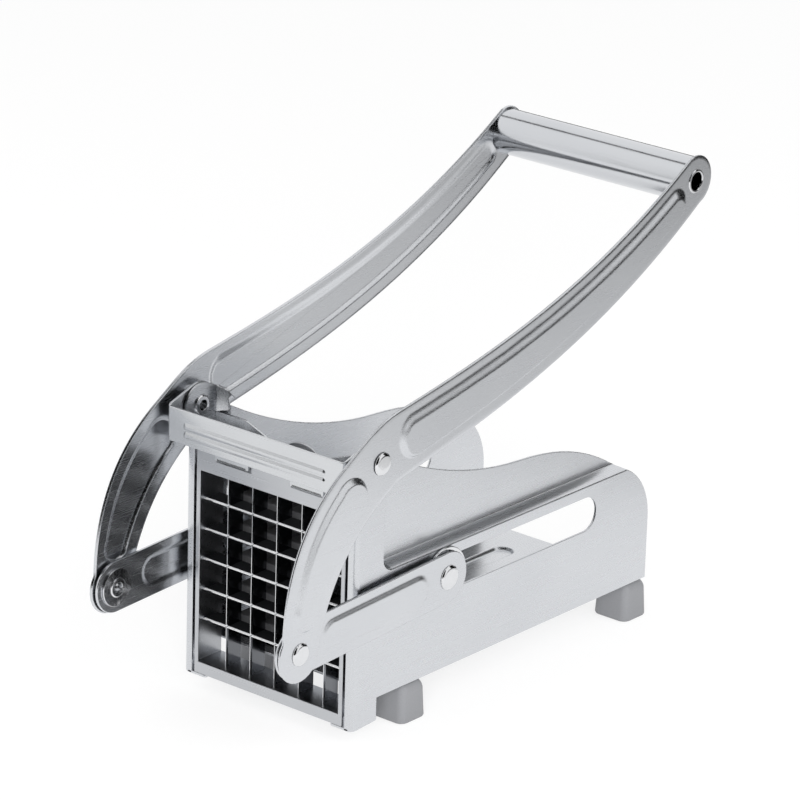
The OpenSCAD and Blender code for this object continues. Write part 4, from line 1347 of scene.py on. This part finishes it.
screws = []
for x in (screw_x, -screw_x):
    for z in (screw_low.z + SCREW_HEAD_R, screw_high.z - SCREW_HEAD_R):
        profile = [(0, 0), (0, SCREW_R), (under, SCREW_R)] + dome(under, SCREW_HEAD_R, SCREW_HEAD_H)
        screw = turned("bracket_screw", profile, (0, 0), edge=SMALL_ROUND)
        sink_slot(screw, CROSS_L / 2, CROSS_W / 2)
        sink_slot(screw, CROSS_W / 2, CROSS_L / 2)
        screw.data.transform(Matrix.Translation(Vector((x, screw_low.y, z)) * MM)
                             @ Matrix.Rotation(math.pi / 2, 4, "Z"))
        screws.append(screw)
dress(join("pusher_screws_turned", screws), "pusher_screws")

# %% [markdown]
# ## Floor and light
#
# The set is a white table under soft studio light. The light that the floor
# throws back on the cutter comes from a plain pale grey. To the camera and in
# reflections it is a middle grey with a glow added, so that the ground reads
# as white while the contact shadows stay. Metal has no colour of its own to show: it shows what
# stands round it, so the world is white for reflections too. The lamps light
# the cutter but aren't mirrored in it, because they would burn out its slopes.

# %% Studio floor
FLOOR_HALF = 4000.0
FLOOR_TONE, FLOOR_SEEN_TONE, FLOOR_GLOW = "#D5D5D5", "#969696", 0.72
MATT = {"Roughness": 0.9, "Specular IOR Level": 0.0}


def seen_by(tree, *rays):
    """1 for these kinds of ray and 0 for the others."""
    path = add(tree, "LightPath").outputs
    seen = path[rays[0]]
    for ray in rays[1:]:
        seen = add(tree, "Math", {0: seen, 1: path[ray]}, operation="MAXIMUM").outputs[0]
    return seen


corners = rectangle(-FLOOR_HALF, FLOOR_HALF, -FLOOR_HALF, FLOOR_HALF)
floor_plane = make("studio_floor", [(x, y, 0) for x, y in corners], [(0, 1, 2, 3)])
floor_finish, tree, shader = new_material("white_table")
seen = seen_by(tree, "Is Camera Ray", "Is Glossy Ray")
tone = add(tree, "Mix", {MIX_FACTOR: seen, MIX_A: linear(FLOOR_TONE),
                                   MIX_B: linear(FLOOR_SEEN_TONE)}, data_type="RGBA")
glow = add(tree, "MapRange", {"Value": seen, "To Min": 0.0, "To Max": FLOOR_GLOW})
fill(tree, shader, {"Base Color": tone.outputs[MIX_RESULT], "Emission Strength": glow.outputs[0],
                    "Emission Color": linear("#FFFFFF"), **MATT})
floor_plane.data.materials.append(floor_finish)
print("floor:", FLOOR_TONE, "for light,", FLOOR_SEEN_TONE, "and a glow of", FLOOR_GLOW, "to the eye")

# %% World
WORLD_LIGHT, WORLD_SEEN = 0.6, 1.0

world = bpy.data.worlds.new("white_cove")
bpy.context.scene.world = world
world.use_nodes = True
tree = world.node_tree
seen = seen_by(tree, "Is Camera Ray", "Is Glossy Ray", "Is Transmission Ray")
strength = add(tree, "MapRange", {"Value": seen, "To Min": WORLD_LIGHT,
                                            "To Max": WORLD_SEEN})
fill(tree, tree.nodes["Background"], {"Color": linear("#FFFFFF"), "Strength": strength.outputs[0]})
print("world:", WORLD_LIGHT, "as light,", WORLD_SEEN, "where it is seen")

# %% Lamps
def softbox(name, turn, rise, distance, size, watts):
    """A square soft lamp that faces the cutter from a turn and a rise, in degrees, its distance
    and size in metres."""
    way = toward(math.radians(turn), math.radians(rise))
    lamp = bpy.data.lights.new(name, "AREA")
    lamp.shape = "SQUARE"
    lamp.size = size
    lamp.energy = watts
    holder = bpy.data.objects.new(name, lamp)
    holder.matrix_world = (Matrix.Translation(way * distance)
                           @ way.to_track_quat("Z", "Y").to_matrix().to_4x4())
    holder.visible_glossy = False
    bpy.context.scene.collection.objects.link(holder)


softbox("key_softbox", 95, 32, 2.0, 2.2, 19)
softbox("fill_softbox", -25, 50, 2.2, 1.5, 7)
softbox("front_softbox", 38, 18, 2.4, 1.0, 45)
print("lamps: key, fill and front softbox")

# %% [markdown]
# Metal looks flat in an all-white room. A photographer puts cards round it, out
# of the picture, and their reflections draw its edges. Three grey cards lie on
# the table behind the cutter, each darker than the last, so that the lever,
# which looks further out over the table than the low side plates, darkens
# towards its grip. Beyond them the table ends in a dark room, which draws a
# dark line where a surface turns from the table to the sky: along each rolled
# edge and each pressed slope. A dark card stands behind the camera for the
# rivets' domes and another to the rear right for the folds, and a narrow one
# hangs overhead and draws a line along the grip.

# %% Cards
ROOM_TONE = "#101010"
ROOM_NEAR, ROOM_FAR = 950, 2600
BEHIND_NEAR, BEHIND_FAR = 560, 960
RING_HEIGHT, TABLE_CARD_STEP = 1.0, 0.3
EYE_HEIGHT = 100
TABLE_WAY = Vector((0.64, 0.77))
TABLE_HALF, TABLE_REAR = 1500, 2500
TABLE_CARDS = [(250, "#D8D8D8"), (500, "#CACACA"), (690, "#ACACAC")]
GRIP_LINE_HALF, GRIP_LINE_Y, GRIP_LINE_HEIGHT = 1000, (60, 200), 1200
WALLS, WALL_START, WALL_TURN, WALL_RISES = 8, 112, 20, (-3, 5)


def card(name, corners, tone=ROOM_TONE):
    """A flat card that only reflections show."""
    piece = make(name, corners, [tuple(range(len(corners)))])
    finish, tree, shader = new_material(name)
    fill(tree, shader, {"Base Color": linear(tone), **MATT})
    piece.data.materials.append(finish)
    for ray in ("camera", "diffuse", "transmission", "shadow"):
        setattr(piece, "visible_" + ray, False)


def round_place(turn, distance, height):
    """A point at a turn in degrees round the cutter, 0 in front of it."""
    turn = math.radians(turn)
    return distance * math.sin(turn), -distance * math.cos(turn), height


def ring_card(name, start, end, near, far):
    """Part of a ring that lies on the table, between two turns and two distances."""
    turns = range(start, end + 1, 10)
    card(name, [round_place(turn, near, RING_HEIGHT) for turn in turns]
         + [round_place(turn, far, RING_HEIGHT) for turn in reversed(turns)])


def standing_card(name, turns, rises):
    """Part of the dark room's wall, between two turns and two rises in degrees."""
    heights = [EYE_HEIGHT + ROOM_FAR * math.tan(math.radians(rise)) for rise in rises]
    card(name, [round_place(turn, ROOM_FAR, z) for turn, z in rectangle(*turns, *heights)])


for i, (start, tone) in enumerate(TABLE_CARDS):
    right, left = ((start - x * TABLE_WAY.x) / TABLE_WAY.y for x in (TABLE_HALF, -TABLE_HALF))
    edge = [(TABLE_HALF, right), (TABLE_HALF, TABLE_REAR), (-TABLE_HALF, TABLE_REAR),
            (-TABLE_HALF, left)]
    card(f"table_card_{i}", [(x, y, TABLE_CARD_STEP * (i + 1)) for x, y in edge], tone)
ring_card("dark_room_floor", 90, 270, ROOM_NEAR, ROOM_FAR)
ring_card("dark_table_behind", 185, 255, BEHIND_NEAR, BEHIND_FAR)
for i in range(WALLS):
    start = WALL_START + WALL_TURN * i
    standing_card(f"dark_room_wall_{i}", (start, start + WALL_TURN), WALL_RISES)
standing_card("camera_card", (-33, 82), (-2, 72))
standing_card("fold_card", (134, 174), (0, 42))
grip_line = rectangle(-GRIP_LINE_HALF, GRIP_LINE_HALF, *GRIP_LINE_Y)
card("grip_line_card", [(x, y, GRIP_LINE_HEIGHT) for x, y in grip_line])
print("cards on the table:", len(TABLE_CARDS), "room walls:", WALLS)

# %% View transform
bpy.context.scene.view_settings.view_transform = "Standard"
print("view transform:", bpy.context.scene.view_settings.view_transform)
